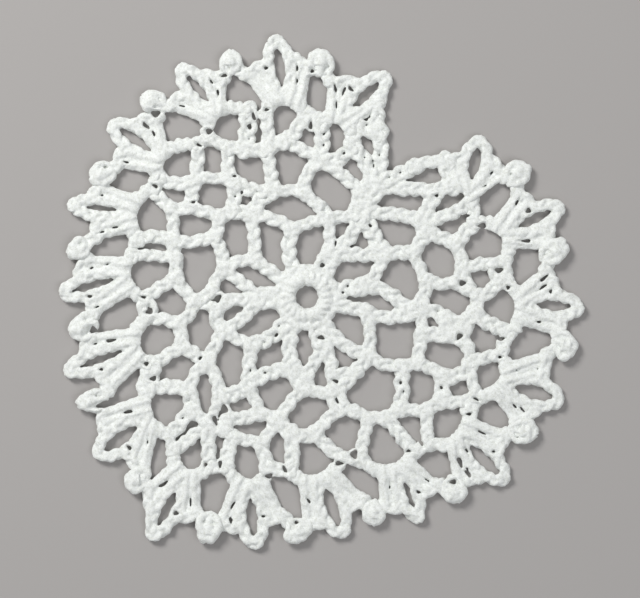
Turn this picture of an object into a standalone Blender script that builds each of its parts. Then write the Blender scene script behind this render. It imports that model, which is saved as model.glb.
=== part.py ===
"""Lace doily: one piece, crocheted from one thread from the ring outward, lying flat.

The stitch chart below gives the places of the knots as they lie, in millimetres from the middle of
the ring: X to the right, Y up, as seen from above. Chains, posts, fans and bobbles run between them.
They are laid out as soft round strands, fused into one body and pressed flat underneath, as cotton
lace is that rests on a table.
"""
import math

import bmesh
import bpy
import numpy as np
from mathutils import Matrix, Vector

MM = 0.001

# Driving sizes, in millimetres.
RING_RADIUS = 9.2           # middle of the ring's round band
RING_BAND = 9.0             # width of that band
STRAND_SQUASH = 0.70        # height of a strand over its width
PRESS_DEPTH = 1.3           # how far below the strands' middle the flat underside lies
BOBBLE_SQUASH = 0.72        # height of a bobble over its width
LEVEL_BELOW = 0.15          # points lower than this belong to the flat underside
FAN_POST_WIDTH = 4.6
LOOP_WIDTH = 3.8            # strand of the tall loop in each fan
LOOP_PAST = 2.2             # how far the loop's middle line goes past its slot at both ends
LOOP_POINT = 0.3            # how pointed the slot's ends are: 0 is an oval
LOOP_OPEN = 0.4             # the skin over the strands closes a slot by this much
FAR_SHOULDER_AT = 0.58      # how far up the loop the edge chain meets it, on the far side
NEAR_SHOULDER_AT = 0.76     # and on the near side
CUP_WIDTH = 6.0             # arch of chain that carries each fan, with the stitches round it
CUP_BOW = 1.8               # how far that arch swings out
EDGE_BOW = 1.0              # how far the edge chain swings out
STRAND_EASE = 1.1           # added to every strand's width: soft cotton fluffs out
EDGE_CHAIN_WIDTH = 4.8      # chain from fan to bobble
GAP_SIDES = 10              # of the prisms that open the small gaps
POINT_SPACING = 2.0         # along every strand
RING_STEPS = 32             # points round the ring
STRAND_SIDES = 3            # bevel resolution of a strand
VOXEL = 0.8                 # grain of the skin that fuses the strands
TRIANGLE_GOAL = 11400

# Colour and finish of the cotton.
COTTON_COLOUR = (0.74, 0.745, 0.73, 1.0)
COTTON_ROUGHNESS = 0.9

# Stitch chart. Knots: name: (x_mm, y_mm).
FIRST_ROUND = {
    "a1": (-6.0, 28.5), "a2": (10.5, 18.5), "a3": (9.5, 33.0), "a6": (32.0, 18.5),
    "a7": (22.0, 4.2), "a8": (24.5, -5.8), "a9": (43.0, -6.5), "a10": (26.0, -24.5),
    "a11": (6.5, -20.0), "a12": (-6.5, -30.0), "a13": (-23.0, -20.0), "a14": (-34.5, -14.5),
    "a15": (-19.0, -0.5), "a16": (-35.0, 12.0), "a17": (-38.0, -5.5), "a18": (-21.5, 15.0),
    "a19": (-23.0, 34.5), "a20": (-33.5, -1.5),
}
SECOND_ROUND = {
    "b1": (5.0, 38.5), "b2": (44.5, 18.5), "b3": (50.0, 7.0), "b4": (48.0, 31.8),
    "b5": (50.5, 27.3), "e1": (47.5, -4.0), "e2": (48.0, -15.5), "e3": (46.5, -28.0),
    "e7": (40.0, -29.0), "h1": (-1.5, -37.0), "h2": (12.0, -39.5), "h6": (-25.0, -37.5),
    "h7": (10.3, -32.0), "h8": (20.5, -31.5), "k1": (-40.0, 2.8), "k2": (-38.5, 25.5),
    "k3": (-36.5, 34.0), "k7": (-46.5, -1.5), "k10": (-41.5, -27.5), "k14": (-36.8, -42.5),
    "k32": (-31.0, 36.0), "l6": (-14.0, 44.3), "l7": (-1.0, 43.3), "c1": (22.0, 34.5),
    "c2": (24.0, 41.5),
}
THIRD_ROUND = {
    "b6": (62.5, 22.5), "b10": (65.0, 11.5), "b12": (62.0, 6.0), "d2": (66.0, -12.0),
    "d3": (58.0, -9.0), "d4": (58.5, -16.0), "d5": (67.5, -20.5), "e4": (56.5, -33.0),
    "e5": (56.5, -43.5), "e6": (39.0, -47.0), "e8": (50.5, -47.0), "g1": (32.5, -50.8),
    "g2": (20.0, -48.0), "g4": (26.0, -51.0), "h3": (13.5, -46.5), "h4": (3.5, -57.0),
    "h5": (-12.5, -52.0), "h9": (-7.0, -57.0), "h12": (-20.5, -49.3), "h13": (-33.3, -50.8),
    "k4": (-49.5, 37.8), "k5": (-56.5, 23.5), "k6": (-55.0, 8.0), "k8": (-53.5, -11.3),
    "k9": (-52.5, -20.5), "k11": (-49.8, -38.8), "k12": (-41.3, -53.5), "k13": (-34.8, -56.0),
    "k20": (-48.5, -48.0), "k26": (-55.2, 16.0), "k29": (-57.0, 37.0), "l1": (-30.5, 48.0),
    "l2": (-47.0, 49.0), "l8": (5.5, 57.0), "c3": (28.0, 47.0),
}
FOURTH_ROUND = {
    "b7": (70.0, 31.0), "b8": (69.0, 40.5), "b9": (78.0, 13.8), "b11": (71.5, 0.8),
    "b13": (83.4, 16.0), "b14": (81.0, 7.5), "b15": (85.6, 4.5), "d1": (70.3, -7.3),
    "d6": (85.0, -15.0), "d7": (81.5, -24.3), "d8": (69.0, -27.5), "e9": (50.5, -62.0),
    "e10": (44.5, -65.0), "e11": (58.0, -62.3), "g5": (22.3, -66.0), "g6": (14.8, -67.5),
    "g8": (26.5, -71.5), "h10": (-7.0, -73.5), "h11": (-19.3, -61.5), "h15": (-30.5, -59.0),
    "k16": (-34.0, -71.0), "k17": (-41.5, -71.3), "k18": (-16.5, -72.5), "k19": (-67.0, -38.0),
    "k21": (-57.3, -57.5), "k22": (-56.3, -65.0), "k23": (-65.5, -29.0), "k24": (-67.5, -8.8),
    "k25": (-68.0, -0.8), "k27": (-73.0, 17.8), "k28": (-71.0, 24.3), "k30": (-65.5, 45.0),
    "k31": (-62.0, 50.0), "l3": (-46.0, 64.3), "l4": (-26.0, 62.0), "l5": (-9.5, 65.3),
    "l9": (19.0, 63.5), "l11": (-41.0, 66.5), "l12": (-24.5, 78.0), "l13": (-17.0, 61.0),
    "l14": (-17.5, 77.0), "l15": (-0.5, 76.5), "l16": (6.0, 73.5), "l17": (-33.0, 62.5),
    "m1": (54.8, 44.8), "m2": (60.5, 46.5), "n1": (45.0, 54.6), "n2": (58.5, 57.0),
    "o1": (29.0, 81.0), "o2": (30.1, 69.0), "o3": (20.5, 72.5), "q1": (68.2, -47.8), "q3": (71.2, -41.6),
}

# What leaves the ring: (bearing_deg round the ring, to, width_mm, bow_mm). Every bow is to the left
# of the way from the first end to the second.
FROM_RING = (
    (120, "a1", 6.0, 2.2), (59, "a2", 9.0, 0.0), (13, "a7", 7.0, 0.0), (-16, "a8", 5.6, 0.0),
    (-50, "a10", 5.4, -3.6), (-70, "a11", 8.2, 0.0), (242, "a12", 6.2, -1.8),
    (222, "a13", 6.2, 2.6), (181, "a15", 9.0, 0.0), (142, "a18", 5.2, 0.0),
)
# Chains and posts: (from, to, width_mm, bow_mm).
FIRST_CHAINS = (
    ("a1", "a3", 4.6, 0.6), ("a1", "a19", 5.0, -1.4), ("a2", "a3", 4.4, 0.8),
    ("a2", "c1", 5.4, -2.2), ("a2", "a6", 5.8, -0.8), ("a3", "b1", 5.0, 0.0),
    ("a3", "c1", 4.8, 0.0), ("a7", "a6", 5.0, -2.2), ("a7", "a9", 5.4, 3.4),
    ("a8", "a9", 5.4, -2.4), ("a8", "a10", 4.8, 1.0), ("a6", "b2", 5.8, 0.0),
    ("a6", "c1", 6.8, -0.6), ("a11", "h1", 5.0, 0.0), ("a11", "h7", 5.0, 1.4),
    ("a12", "h1", 8.0, 0.0), ("a12", "h6", 6.2, -1.8), ("a13", "a14", 4.8, 0.6),
    ("a13", "h6", 5.4, -0.4), ("a15", "a14", 4.8, 0.8), ("a15", "a16", 5.0, 0.0),
    ("a15", "a20", 5.0, 0.0), ("a20", "a17", 5.2, 0.0), ("a20", "k1", 3.2, 0.0),
    ("a17", "a14", 5.6, -1.6), ("a17", "k7", 4.2, 0.0), ("a18", "a16", 4.6, -1.6),
    ("a18", "a19", 5.2, 0.0), ("a16", "k1", 4.6, -0.6), ("a16", "k2", 5.0, -0.8),
    ("a19", "k32", 6.0, 0.0), ("a19", "l6", 6.0, 1.8), ("a14", "k10", 5.0, -1.0),
    ("a9", "e1", 8.0, 0.0), ("a10", "h8", 5.6, 0.0), ("a10", "e7", 4.8, -1.6),
)
SECOND_CHAINS = (
    ("b1", "l7", 4.4, 0.0), ("c1", "c2", 10.0, 0.0), ("c2", "c3", 11.0, 0.0),
    ("c1", "b4", 5.6, 2.0), ("b2", "b3", 4.6, 0.0), ("b2", "b5", 5.6, 0.0),
    ("b4", "b5", 7.0, 0.0), ("b3", "e1", 5.6, 0.6), ("b3", "b12", 4.8, -0.8),
    ("e1", "e2", 4.6, 0.6), ("e1", "d3", 6.0, 0.6), ("e2", "e3", 5.0, 0.0),
    ("e2", "d4", 6.0, 0.0), ("e7", "e3", 5.0, 0.0), ("e7", "e6", 6.0, 0.4),
    ("e3", "e4", 5.0, 0.6), ("h1", "h2", 4.6, -1.8), ("h7", "h2", 4.4, 0.0),
    ("h7", "h8", 4.0, 0.0), ("h8", "h2", 4.6, 0.8), ("h2", "h3", 8.0, 0.0),
    ("h1", "h5", 5.0, 0.0), ("h6", "h12", 5.0, 1.0), ("h6", "k14", 6.0, 0.6),
    ("k1", "k7", 5.2, 0.6), ("k2", "k3", 5.0, 0.0), ("k2", "k5", 5.0, 1.2),
    ("k3", "k32", 6.0, 0.0), ("k3", "k4", 5.0, 0.0), ("k32", "l1", 6.0, 0.0),
    ("k7", "k6", 5.4, 0.8), ("k7", "k8", 5.0, 0.8), ("k10", "k9", 5.4, 0.0),
    ("k10", "k14", 5.0, 1.0), ("k10", "k11", 5.0, -1.6), ("k14", "k12", 3.6, 0.0),
    ("k14", "h13", 3.2, 1.2), ("l6", "l7", 4.4, 1.2), ("l6", "l1", 6.0, 1.2),
    ("l6", "l13", 5.2, -0.4), ("l7", "l8", 5.0, 2.4), ("c2", "l8", 5.0, -1.6),
    ("c3", "l9", 6.2, -1.4), ("c3", "m1", 5.6, -0.4), ("c3", "n1", 6.0, -0.4),
    ("c3", "o2", 6.2, -2.0),
)
THIRD_CHAINS = (
    ("b4", "b8", 5.2, -1.8), ("b4", "m1", 6.2, 0.0), ("b5", "b6", 5.6, 0.0),
    ("b6", "b7", 6.0, 0.0), ("b6", "b10", 5.2, 0.6), ("b12", "b10", 4.2, 0.0),
    ("b12", "b11", 3.2, -0.8), ("b10", "b11", 3.6, -0.3), ("b10", "b9", 5.0, 1.0),
    ("d3", "d4", 6.4, 0.0), ("d3", "d2", 6.0, 0.0), ("d4", "d2", 4.4, 0.0),
    ("d4", "d5", 3.8, 0.0), ("d2", "d5", 4.0, -0.8), ("d2", "d1", 7.0, 0.0),
    ("d5", "d8", 4.8, 0.0), ("e4", "e5", 6.6, 0.6), ("e4", "d8", 6.2, -2.8),
    ("e5", "q3", 5.0, -1.6), ("e8", "e5", 5.4, 0.0), ("e6", "e8", 5.0, -0.8),
    ("e6", "g1", 5.2, 0.0), ("e8", "e9", 4.8, -0.2), ("g1", "g4", 5.0, 0.0),
    ("g4", "g2", 4.8, 0.0), ("g2", "h3", 4.8, 0.0), ("g4", "g5", 5.0, 0.0),
    ("g1", "e10", 5.6, 0.6), ("h3", "h4", 5.0, 0.0), ("h4", "h9", 6.0, 1.4),
    ("h4", "g6", 5.4, -0.8), ("h5", "h9", 6.4, 0.4), ("h5", "h11", 4.6, 0.0),
    ("h5", "h12", 5.2, -1.2), ("h12", "h13", 5.6, 0.6), ("h13", "k13", 5.0, 0.0),
    ("k13", "k12", 4.6, 0.0), ("h9", "h10", 6.0, 0.8), ("k4", "l2", 5.4, 0.0),
    ("k4", "k29", 5.0, 0.6), ("k29", "k5", 4.8, 0.8), ("k29", "k30", 5.0, 0.0),
    ("k5", "k26", 5.6, 0.0), ("k5", "k28", 5.0, -1.6), ("k26", "k6", 5.4, 0.0),
    ("k26", "k27", 4.6, -0.4), ("k6", "k25", 5.0, -0.6), ("k8", "k9", 5.6, 0.0),
    ("k8", "k24", 5.0, -0.8), ("k9", "k23", 5.0, 0.0), ("k11", "k19", 5.8, -0.8),
    ("k11", "k20", 6.4, 0.6), ("k20", "k21", 6.0, 0.0), ("k20", "k12", 5.0, 0.0),
    ("k12", "k22", 5.0, 0.0), ("k12", "k17", 5.6, 0.0), ("k13", "h15", 5.0, 0.0),
    ("l1", "l2", 4.4, -1.6), ("l1", "l17", 5.0, 1.6), ("l2", "k31", 5.4, 1.8),
    ("l2", "l3", 5.4, -0.6), ("l8", "l9", 6.4, -2.6), ("l8", "l16", 6.2, -0.4),
    ("l8", "l5", 5.0, -0.6),
)
FOURTH_CHAINS = (
    ("b7", "b8", 5.2, -0.8), ("b9", "b13", 4.6, 0.0), ("b9", "b14", 2.6, -2.0),
    ("b11", "b14", 5.4, -1.8), ("b14", "b15", 4.4, 0.0), ("b13", "b15", 3.8, -0.4),
    ("b11", "d1", 4.8, 0.4), ("d1", "d6", 6.0, -0.4), ("d6", "d7", 5.4, -0.6),
    ("d8", "d7", 4.8, 0.6), ("d8", "q3", 4.2, -0.8), ("q3", "q1", 6.4, 0.0),
    ("e9", "e10", 5.0, 0.0), ("e9", "e11", 5.2, 0.0), ("g5", "g6", 4.6, 0.0),
    ("g5", "g8", 4.6, 0.0), ("g6", "g8", 4.0, 0.6), ("h11", "k18", 5.6, 0.0),
    ("h11", "h15", 5.0, 0.0), ("h15", "k16", 5.6, -0.8), ("k16", "k17", 5.6, 0.0),
    ("k18", "h10", 6.0, 0.8), ("k19", "k23", 7.6, 0.0), ("k21", "k22", 5.2, 0.0),
    ("k24", "k25", 3.6, 1.8), ("k24", "k25", 2.4, -3.8), ("k27", "k28", 6.0, 0.0),
    ("k30", "k31", 6.0, 0.0), ("l3", "l11", 5.0, 0.0), ("l11", "l17", 4.6, 0.0),
    ("l17", "l4", 5.4, 0.0), ("l4", "l12", 7.2, 0.0), ("l4", "l13", 5.4, 0.0),
    ("l13", "l5", 5.4, 0.6), ("l13", "l14", 5.0, -0.8), ("l5", "l15", 6.0, -0.8),
    ("l15", "l16", 8.0, -1.0), ("m1", "m2", 5.6, 0.0), ("m2", "n2", 7.0, 0.0),
    ("n1", "n2", 5.0, 0.8), ("o1", "o2", 6.2, 0.0), ("l9", "o3", 6.4, 0.0),
    ("o3", "o2", 7.0, 0.0),
)

# Fans: name: (base on the arch, root and tip of the loop's slot, slot_mm, outer end on the far side,
# outer end on the near side, cup knot on the far side, cup knot on the near side, and how far from
# the base towards each of those knots the outer post stands, far_mm and near_mm). They follow each
# other against the clock from the notch; the far side is the one towards the next fan.
FANS = {
    "f1": ((15.0, 76.0), (19.4, 79.8), (30.6, 90.2), 4.8,
           (9.6, 90.0), (29.0, 81.0), "l16", "l9", 6.4, 6.6),
    "f2": ((-10.5, 84.5), (-10.4, 88.5), (-12.6, 104.9), 4.9,
           (-26.0, 93.0), (0.6, 95.0), "l14", "l15", 6.6, 9.6),
    "f3": ((-40.0, 78.0), (-41.2, 81.9), (-50.8, 93.2), 3.8,
           (-57.4, 79.9), (-35.3, 91.0), "l11", "l12", 4.4, 5.4),
    "f4": ((-63.0, 59.0), (-65.4, 61.4), (-79.0, 70.8), 4.4,
           (-79.6, 55.4), (-62.4, 75.4), "k31", "l3", 6.2, 4.6),
    "f5": ((-74.5, 36.3), (-77.5, 36.3), (-95.4, 38.3), 2.8,
           (-87.5, 25.6), (-86.0, 46.6), "k28", "k30", 8.4, 6.2),
    "f6": ((-77.6, 8.3), (-80.2, 7.8), (-99.4, 2.4), 3.8,
           (-89.3, -7.0), (-92.2, 16.6), "k25", "k27", 7.2, 7.4),
    "f7": ((-73.6, -20.5), (-76.5, -22.4), (-97.2, -30.0), 3.6,
           (-82.6, -39.2), (-90.5, -16.2), "k23", "k24", 7.6, 6.8),
    "f8": ((-67.5, -51.0), (-71.6, -54.6), (-84.9, -64.4), 6.0,
           (-67.8, -73.6), (-85.4, -48.0), "k21", "k19", 6.0, 9.0),
    "f9": ((-51.5, -76.0), (-54.6, -80.8), (-63.3, -97.3), 4.4,
           (-45.8, -90.6), (-66.5, -79.8), "k17", "k22", 5.6, 8.0),
    "f10": ((-24.0, -80.5), (-24.0, -84.7), (-22.2, -100.5), 5.2,
            (-10.5, -91.2), (-37.2, -94.4), "k18", "k16", 8.0, 7.0),
    "f11": ((4.5, -78.0), (7.6, -80.6), (13.4, -96.2), 5.6,
            (23.4, -84.6), (-0.6, -95.4), "g6", "h10", 9.0, 7.4),
    "f12": ((37.5, -72.6), (40.4, -76.2), (45.4, -89.9), 2.6,
            (54.8, -78.6), (32.0, -87.6), "e10", "g8", 7.0, 7.0),
    "f13": ((64.6, -58.0), (68.2, -62.6), (80.5, -74.4), 5.6,
            (83.0, -57.4), (62.8, -77.0), "q1", "e11", 7.6, 6.8),
    "f14": ((83.6, -36.5), (87.3, -37.8), (103.0, -42.2), 6.2,
            (100.6, -23.6), (87.6, -52.4), "d7", "q3", 7.6, 6.6),
    "f15": ((90.5, -3.8), (95.8, -3.0), (111.0, -4.2), 4.8,
            (99.8, 11.6), (104.8, -15.0), "b15", "d6", 6.6, 7.0),
    "f16": ((84.3, 28.0), (88.3, 29.3), (102.9, 36.4), 4.4,
            (88.2, 43.8), (101.0, 20.8), "b7", "b13", 6.4, 6.6),
    "f17": ((68.2, 46.3), (69.0, 49.8), (71.8, 62.6), 5.4,
            (60.0, 57.0), (83.0, 49.8), "m1", "b8", 6.6, 6.4),
}
# Posts on either side of a fan: (where it stands, as a share of the distance to the outer post's foot;
# where it ends, as a share of the edge chain from the side's outer end to the loop's shoulder).
POSTS = ((1.0, 0.0), (0.5, 0.06), (0.2, 0.5))

# Bobbles: name: (x_mm, y_mm, radius_mm, fan before it, fan after it).
BOBBLES = {
    "bobble1": (5.8, 99.0, 5.9, "f1", "f2"), "bobble2": (-32.0, 99.0, 5.9, "f2", "f3"),
    "bobble3": (-65.2, 81.9, 5.7, "f3", "f4"), "bobble4": (-86.3, 51.3, 5.8, "f4", "f5"),
    "bobble5": (-96.4, 19.8, 5.8, "f5", "f6"), "bobble6": (-94.5, -13.0, 6.0, "f6", "f7"),
    "bobble7": (-91.0, -44.0, 6.0, "f7", "f8"), "bobble8": (-71.8, -76.8, 5.8, "f8", "f9"),
    "bobble9": (-41.3, -97.4, 6.0, "f9", "f10"), "bobble10": (-4.0, -98.5, 6.1, "f10", "f11"),
    "bobble11": (27.5, -91.0, 5.6, "f11", "f12"), "bobble12": (61.3, -81.5, 6.0, "f12", "f13"),
    "bobble13": (91.3, -56.5, 6.0, "f13", "f14"), "bobble14": (108.5, -20.5, 6.3, "f14", "f15"),
    "bobble15": (104.3, 19.5, 6.1, "f15", "f16"), "bobble16": (88.5, 52.0, 5.9, "f16", "f17"),
}

# Small gaps that the strands leave where they part again: (x_mm, y_mm, length_mm, width_mm,
# bearing_deg of the length).
SMALL_GAPS = (
    (-63.6, 77.0, 3.8, 2.8, 0), (-89.7, -13.8, 3.0, 2.8, 0), (-85.6, -45.2, 5.6, 2.8, 15),
    (-34.8, -47.1, 3.8, 3.0, 90), (19.8, -66.0, 3.8, 3.0, 90), (-16.0, -75.1, 3.2, 2.0, 10),
    (13.5, -69.8, 3.4, 1.8, 0), (73.6, 30.0, 3.4, 2.2, 0), (80.6, 11.3, 3.6, 2.2, 5),
    (-37.4, -0.6, 3.4, 2.6, 60), (-66.2, -6.0, 3.2, 2.3, 20), (65.2, 5.9, 2.8, 2.3, 0),
    (64.0, -16.5, 3.0, 2.2, 45), (81.3, -17.5, 3.6, 1.5, 0), (64.2, -69.3, 4.8, 1.8, -68),
    (61.3, -77.6, 2.8, 2.1, 0), (-41.1, 69.6, 2.8, 2.4, 0), (5.9, -17.0, 3.2, 1.7, -10),
    (-64.6, -34.2, 2.8, 2.0, 15), (-38.6, -51.8, 4.6, 1.7, -70), (-75.2, -48.2, 4.4, 1.3, 12),
    (-60.4, -78.6, 5.2, 1.3, 32), (66.5, 33.9, 4.5, 1.4, 18), (92.1, 23.6, 4.0, 1.4, 0),
    (-82.3, -18.2, 4.8, 1.3, 10), (67.6, -74.2, 4.0, 1.5, -48), (-9.4, -72.2, 3.8, 1.4, -62),
    (1.5, 72.0, 3.4, 1.6, 88), (-36.5, -70.2, 3.4, 1.5, 88), (-67.7, 72.0, 3.6, 1.4, -45),
    (93.0, 36.3, 2.2, 2.2, 0), (-22.4, 75.9, 4.0, 1.3, -72), (99.5, 7.9, 4.6, 1.3, 40),
)


def all_knots():
    """Every knot of the chart with its place."""
    knots = {}
    for table in (FIRST_ROUND, SECOND_ROUND, THIRD_ROUND, FOURTH_ROUND):
        knots.update(table)
    return {name: Vector(place) for name, place in knots.items()}


def on_ring(bearing):
    """The point of the ring's middle line at a bearing in degrees, against the clock from +X."""
    return Vector((math.cos(math.radians(bearing)), math.sin(math.radians(bearing)))) * RING_RADIUS


def bowed(start, end, bow):
    """Points from start to end along a flat parabola that swings out by the bow at half way."""
    along = end - start
    side = Vector((-along.y, along.x)).normalized()
    steps = max(2, math.ceil(along.length / POINT_SPACING))
    points = []
    for step in range(steps + 1):
        share = step / steps
        points.append(start + along * share + side * bow * 4 * share * (1 - share))
    return points


def on_arch(cup, base, stand, bow):
    """The point of a fan's arch, bowed from cup knot to base, at a distance from the base."""
    along = base - cup
    side = Vector((-along.y, along.x)).normalized()
    share = 1 - stand / along.length
    return cup + along * share + side * bow * 4 * share * (1 - share)


def loop(root, tip, slot):
    """Points of a fan's tall loop round its slot, a lens with slightly pointed ends."""
    past = (tip - root).normalized() * LOOP_PAST
    start, along = root - past, tip - root + past * 2
    side = Vector((-along.y, along.x)).normalized()
    reach = (slot + LOOP_WIDTH + STRAND_EASE + LOOP_OPEN) / 2
    steps = 2 * math.ceil(along.length / POINT_SPACING)
    points = []
    for step in range(2 * steps):
        turn = math.pi * step / steps
        out = reach * math.sin(turn) * abs(math.sin(turn)) ** LOOP_POINT
        points.append(start + along * (1 - math.cos(turn)) / 2 + side * out)
    return points


def strands():
    """Every strand as (points, width, closed), from the ring out to the edge."""
    knots = all_knots()
    ring = [on_ring(360 * step / RING_STEPS) for step in range(RING_STEPS)]
    found = [(ring, RING_BAND, True)]
    for bearing, end, width, bow in FROM_RING:
        found.append((bowed(on_ring(bearing), knots[end], bow), width, False))
    for table in (FIRST_CHAINS, SECOND_CHAINS, THIRD_CHAINS, FOURTH_CHAINS):
        for start, end, width, bow in table:
            found.append((bowed(knots[start], knots[end], bow), width, False))
    for base, root, tip, slot, far, near, far_cup, near_cup, far_foot, near_foot in FANS.values():
        base, root, tip, far, near = (Vector(place) for place in (base, root, tip, far, near))
        found.append((loop(root, tip, slot), LOOP_WIDTH, True))
        side = Vector((root.y - tip.y, tip.x - root.x)).normalized() * (slot + LOOP_WIDTH) / 2
        for end, cup, stand, up_loop, hand in ((far, far_cup, far_foot, FAR_SHOULDER_AT, 1),
                                               (near, near_cup, near_foot, NEAR_SHOULDER_AT, -1)):
            shoulder = root.lerp(tip, up_loop) + side * hand
            for out, up in POSTS:
                foot = on_arch(knots[cup], base, out * stand, CUP_BOW * hand)
                found.append((bowed(foot, end.lerp(shoulder, up), 0.0), FAN_POST_WIDTH, False))
            found.append((bowed(end, shoulder, EDGE_BOW * hand), EDGE_CHAIN_WIDTH, False))
            found.append((bowed(knots[cup], base, CUP_BOW * hand), CUP_WIDTH, False))
    for x, y, radius, before, after in BOBBLES.values():
        for place in (FANS[before][4], FANS[after][5]):
            found.append((bowed(Vector(place), Vector((x, y)), 0.0), EDGE_CHAIN_WIDTH, False))
    return found


def strand_mesh():
    """All strands as round tubes, in one mesh."""
    curve = bpy.data.curves.new("strands", "CURVE")
    curve.dimensions = "3D"
    curve.bevel_depth = MM
    curve.bevel_resolution = STRAND_SIDES
    curve.use_fill_caps = True
    for points, width, closed in strands():
        spline = curve.splines.new("POLY")
        spline.points.add(len(points) - 1)
        spline.use_cyclic_u = closed
        for target, point in zip(spline.points, points):
            target.co = (point.x * MM, point.y * MM, 0.0, 1.0)
            target.radius = (width + STRAND_EASE) / 2
    holder = bpy.data.objects.new("strands", curve)
    bpy.context.scene.collection.objects.link(holder)
    bpy.context.view_layer.update()
    mesh = bpy.data.meshes.new_from_object(holder.evaluated_get(bpy.context.evaluated_depsgraph_get()))
    bpy.data.objects.remove(holder)
    return mesh


def knot_sizes():
    """For every strand's end a ball as wide as the widest strand that ends there."""
    sizes = {}
    for points, width, closed in strands():
        for point in () if closed else (points[0], points[-1]):
            key = (round(point.x, 2), round(point.y, 2))
            sizes[key] = max(sizes.get(key, 0.0), (width + STRAND_EASE) / 2)
    return sizes


def gap_prisms():
    """An object with an upright oval prism for every small gap, longer than the lace is thick."""
    tall = 4 * BOBBLE_SQUASH * RING_BAND
    shapes = bmesh.new()
    for x, y, length, width, bearing in SMALL_GAPS:
        place = (Matrix.Translation((x * MM, y * MM, 0.0)) @ Matrix.Rotation(math.radians(bearing), 4, "Z")
                 @ Matrix.Diagonal((length * MM, width * MM, tall * MM, 1.0)))
        bmesh.ops.create_cone(shapes, cap_ends=True, segments=GAP_SIDES, radius1=0.5, radius2=0.5,
                              depth=1.0, matrix=place)
    mesh = bpy.data.meshes.new("gap_prisms")
    shapes.to_mesh(mesh)
    shapes.free()
    prisms = bpy.data.objects.new("gap_prisms", mesh)
    bpy.context.scene.collection.objects.link(prisms)
    return prisms


def fused_mesh(name):
    """Strands, knots and bobbles fused into one skin, pressed flat below and centred."""
    body = bmesh.new()
    body.from_mesh(strand_mesh())
    for (x, y), radius in knot_sizes().items():
        place = Matrix.Translation((x * MM, y * MM, 0.0))
        bmesh.ops.create_icosphere(body, subdivisions=2, radius=radius * MM, matrix=place)
    bmesh.ops.scale(body, vec=(1, 1, STRAND_SQUASH), verts=body.verts)
    for x, y, radius, *_ in BOBBLES.values():
        place = Matrix.Translation((x * MM, y * MM, 0.0)) @ Matrix.Diagonal((1, 1, BOBBLE_SQUASH, 1))
        bmesh.ops.create_icosphere(body, subdivisions=3, radius=radius * MM, matrix=place)
    mesh = bpy.data.meshes.new(name)
    body.to_mesh(mesh)
    body.free()

    holder = bpy.data.objects.new("soft_strands", mesh)
    bpy.context.scene.collection.objects.link(holder)
    fuse = holder.modifiers.new("fuse", "REMESH")
    fuse.mode = "VOXEL"
    fuse.voxel_size = VOXEL * MM
    prisms = gap_prisms()
    opened = holder.modifiers.new("small_gaps", "BOOLEAN")
    opened.operation = "DIFFERENCE"
    opened.solver = "MANIFOLD"
    opened.object = prisms
    bpy.context.view_layer.update()
    skin = bpy.data.meshes.new_from_object(holder.evaluated_get(bpy.context.evaluated_depsgraph_get()))
    bpy.data.objects.remove(holder)
    bpy.data.objects.remove(prisms)
    skin.name = name

    places = np.empty(len(skin.vertices) * 3, dtype=np.float32)
    skin.vertices.foreach_get("co", places)
    places = places.reshape(-1, 3)
    places[:, 2] = np.maximum(places[:, 2], -PRESS_DEPTH * MM) + PRESS_DEPTH * MM
    skin.vertices.foreach_set("co", places.ravel())
    return thinned(skin)


def thinned(skin):
    """The same skin in fewer triangles, its underside level and its middle over the origin."""
    holder = bpy.data.objects.new("thinned", skin)
    bpy.context.scene.collection.objects.link(holder)
    skin.calc_loop_triangles()
    fewer = holder.modifiers.new("fewer_triangles", "DECIMATE")
    fewer.ratio = min(1.0, TRIANGLE_GOAL / len(skin.loop_triangles))
    fewer.use_collapse_triangulate = True
    bpy.context.view_layer.update()
    thin = bpy.data.meshes.new_from_object(holder.evaluated_get(bpy.context.evaluated_depsgraph_get()))
    bpy.data.objects.remove(holder)
    thin.name = skin.name

    places = np.empty(len(thin.vertices) * 3, dtype=np.float32)
    thin.vertices.foreach_get("co", places)
    places = places.reshape(-1, 3)
    places[places[:, 2] < LEVEL_BELOW * MM, 2] = 0.0
    places[:, :2] -= (places[:, :2].min(axis=0) + places[:, :2].max(axis=0)) / 2
    thin.vertices.foreach_set("co", places.ravel())
    thin.update()
    return thin


def cotton():
    """Matt white cotton."""
    material = bpy.data.materials.new("cotton")
    material.use_nodes = True
    shader = material.node_tree.nodes["Principled BSDF"]
    shader.inputs["Base Color"].default_value = COTTON_COLOUR
    shader.inputs["Roughness"].default_value = COTTON_ROUGHNESS
    shader.inputs["Metallic"].default_value = 0.0
    material.diffuse_color = COTTON_COLOUR
    return material


def main():
    """Clear the scene and build the doily."""
    for leftover in list(bpy.data.objects):
        bpy.data.objects.remove(leftover)
    collection = bpy.data.collections.new("lace_doily")
    bpy.context.scene.collection.children.link(collection)
    mesh = fused_mesh("doily")
    doily = bpy.data.objects.new("doily", mesh)
    collection.objects.link(doily)
    mesh.materials.append(cotton())


main()
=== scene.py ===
# %% [markdown]
# # Lace doily
# A heart-shaped doily, crocheted from one cotton yarn outward from a small ring, lying flat and seen
# from above. What makes it look like crochet is the yarn: chains are plaits, a fan's posts are strands
# side by side, arches are wrapped, and each meeting point is a small tangle. So every line of the
# stitch chart below is worked in yarn here, as tubes swept along curves, and then grown together as
# soft cotton does. The imported solid has the same chart as plain soft strands, and stays for collision,
# hidden.

import math

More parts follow.
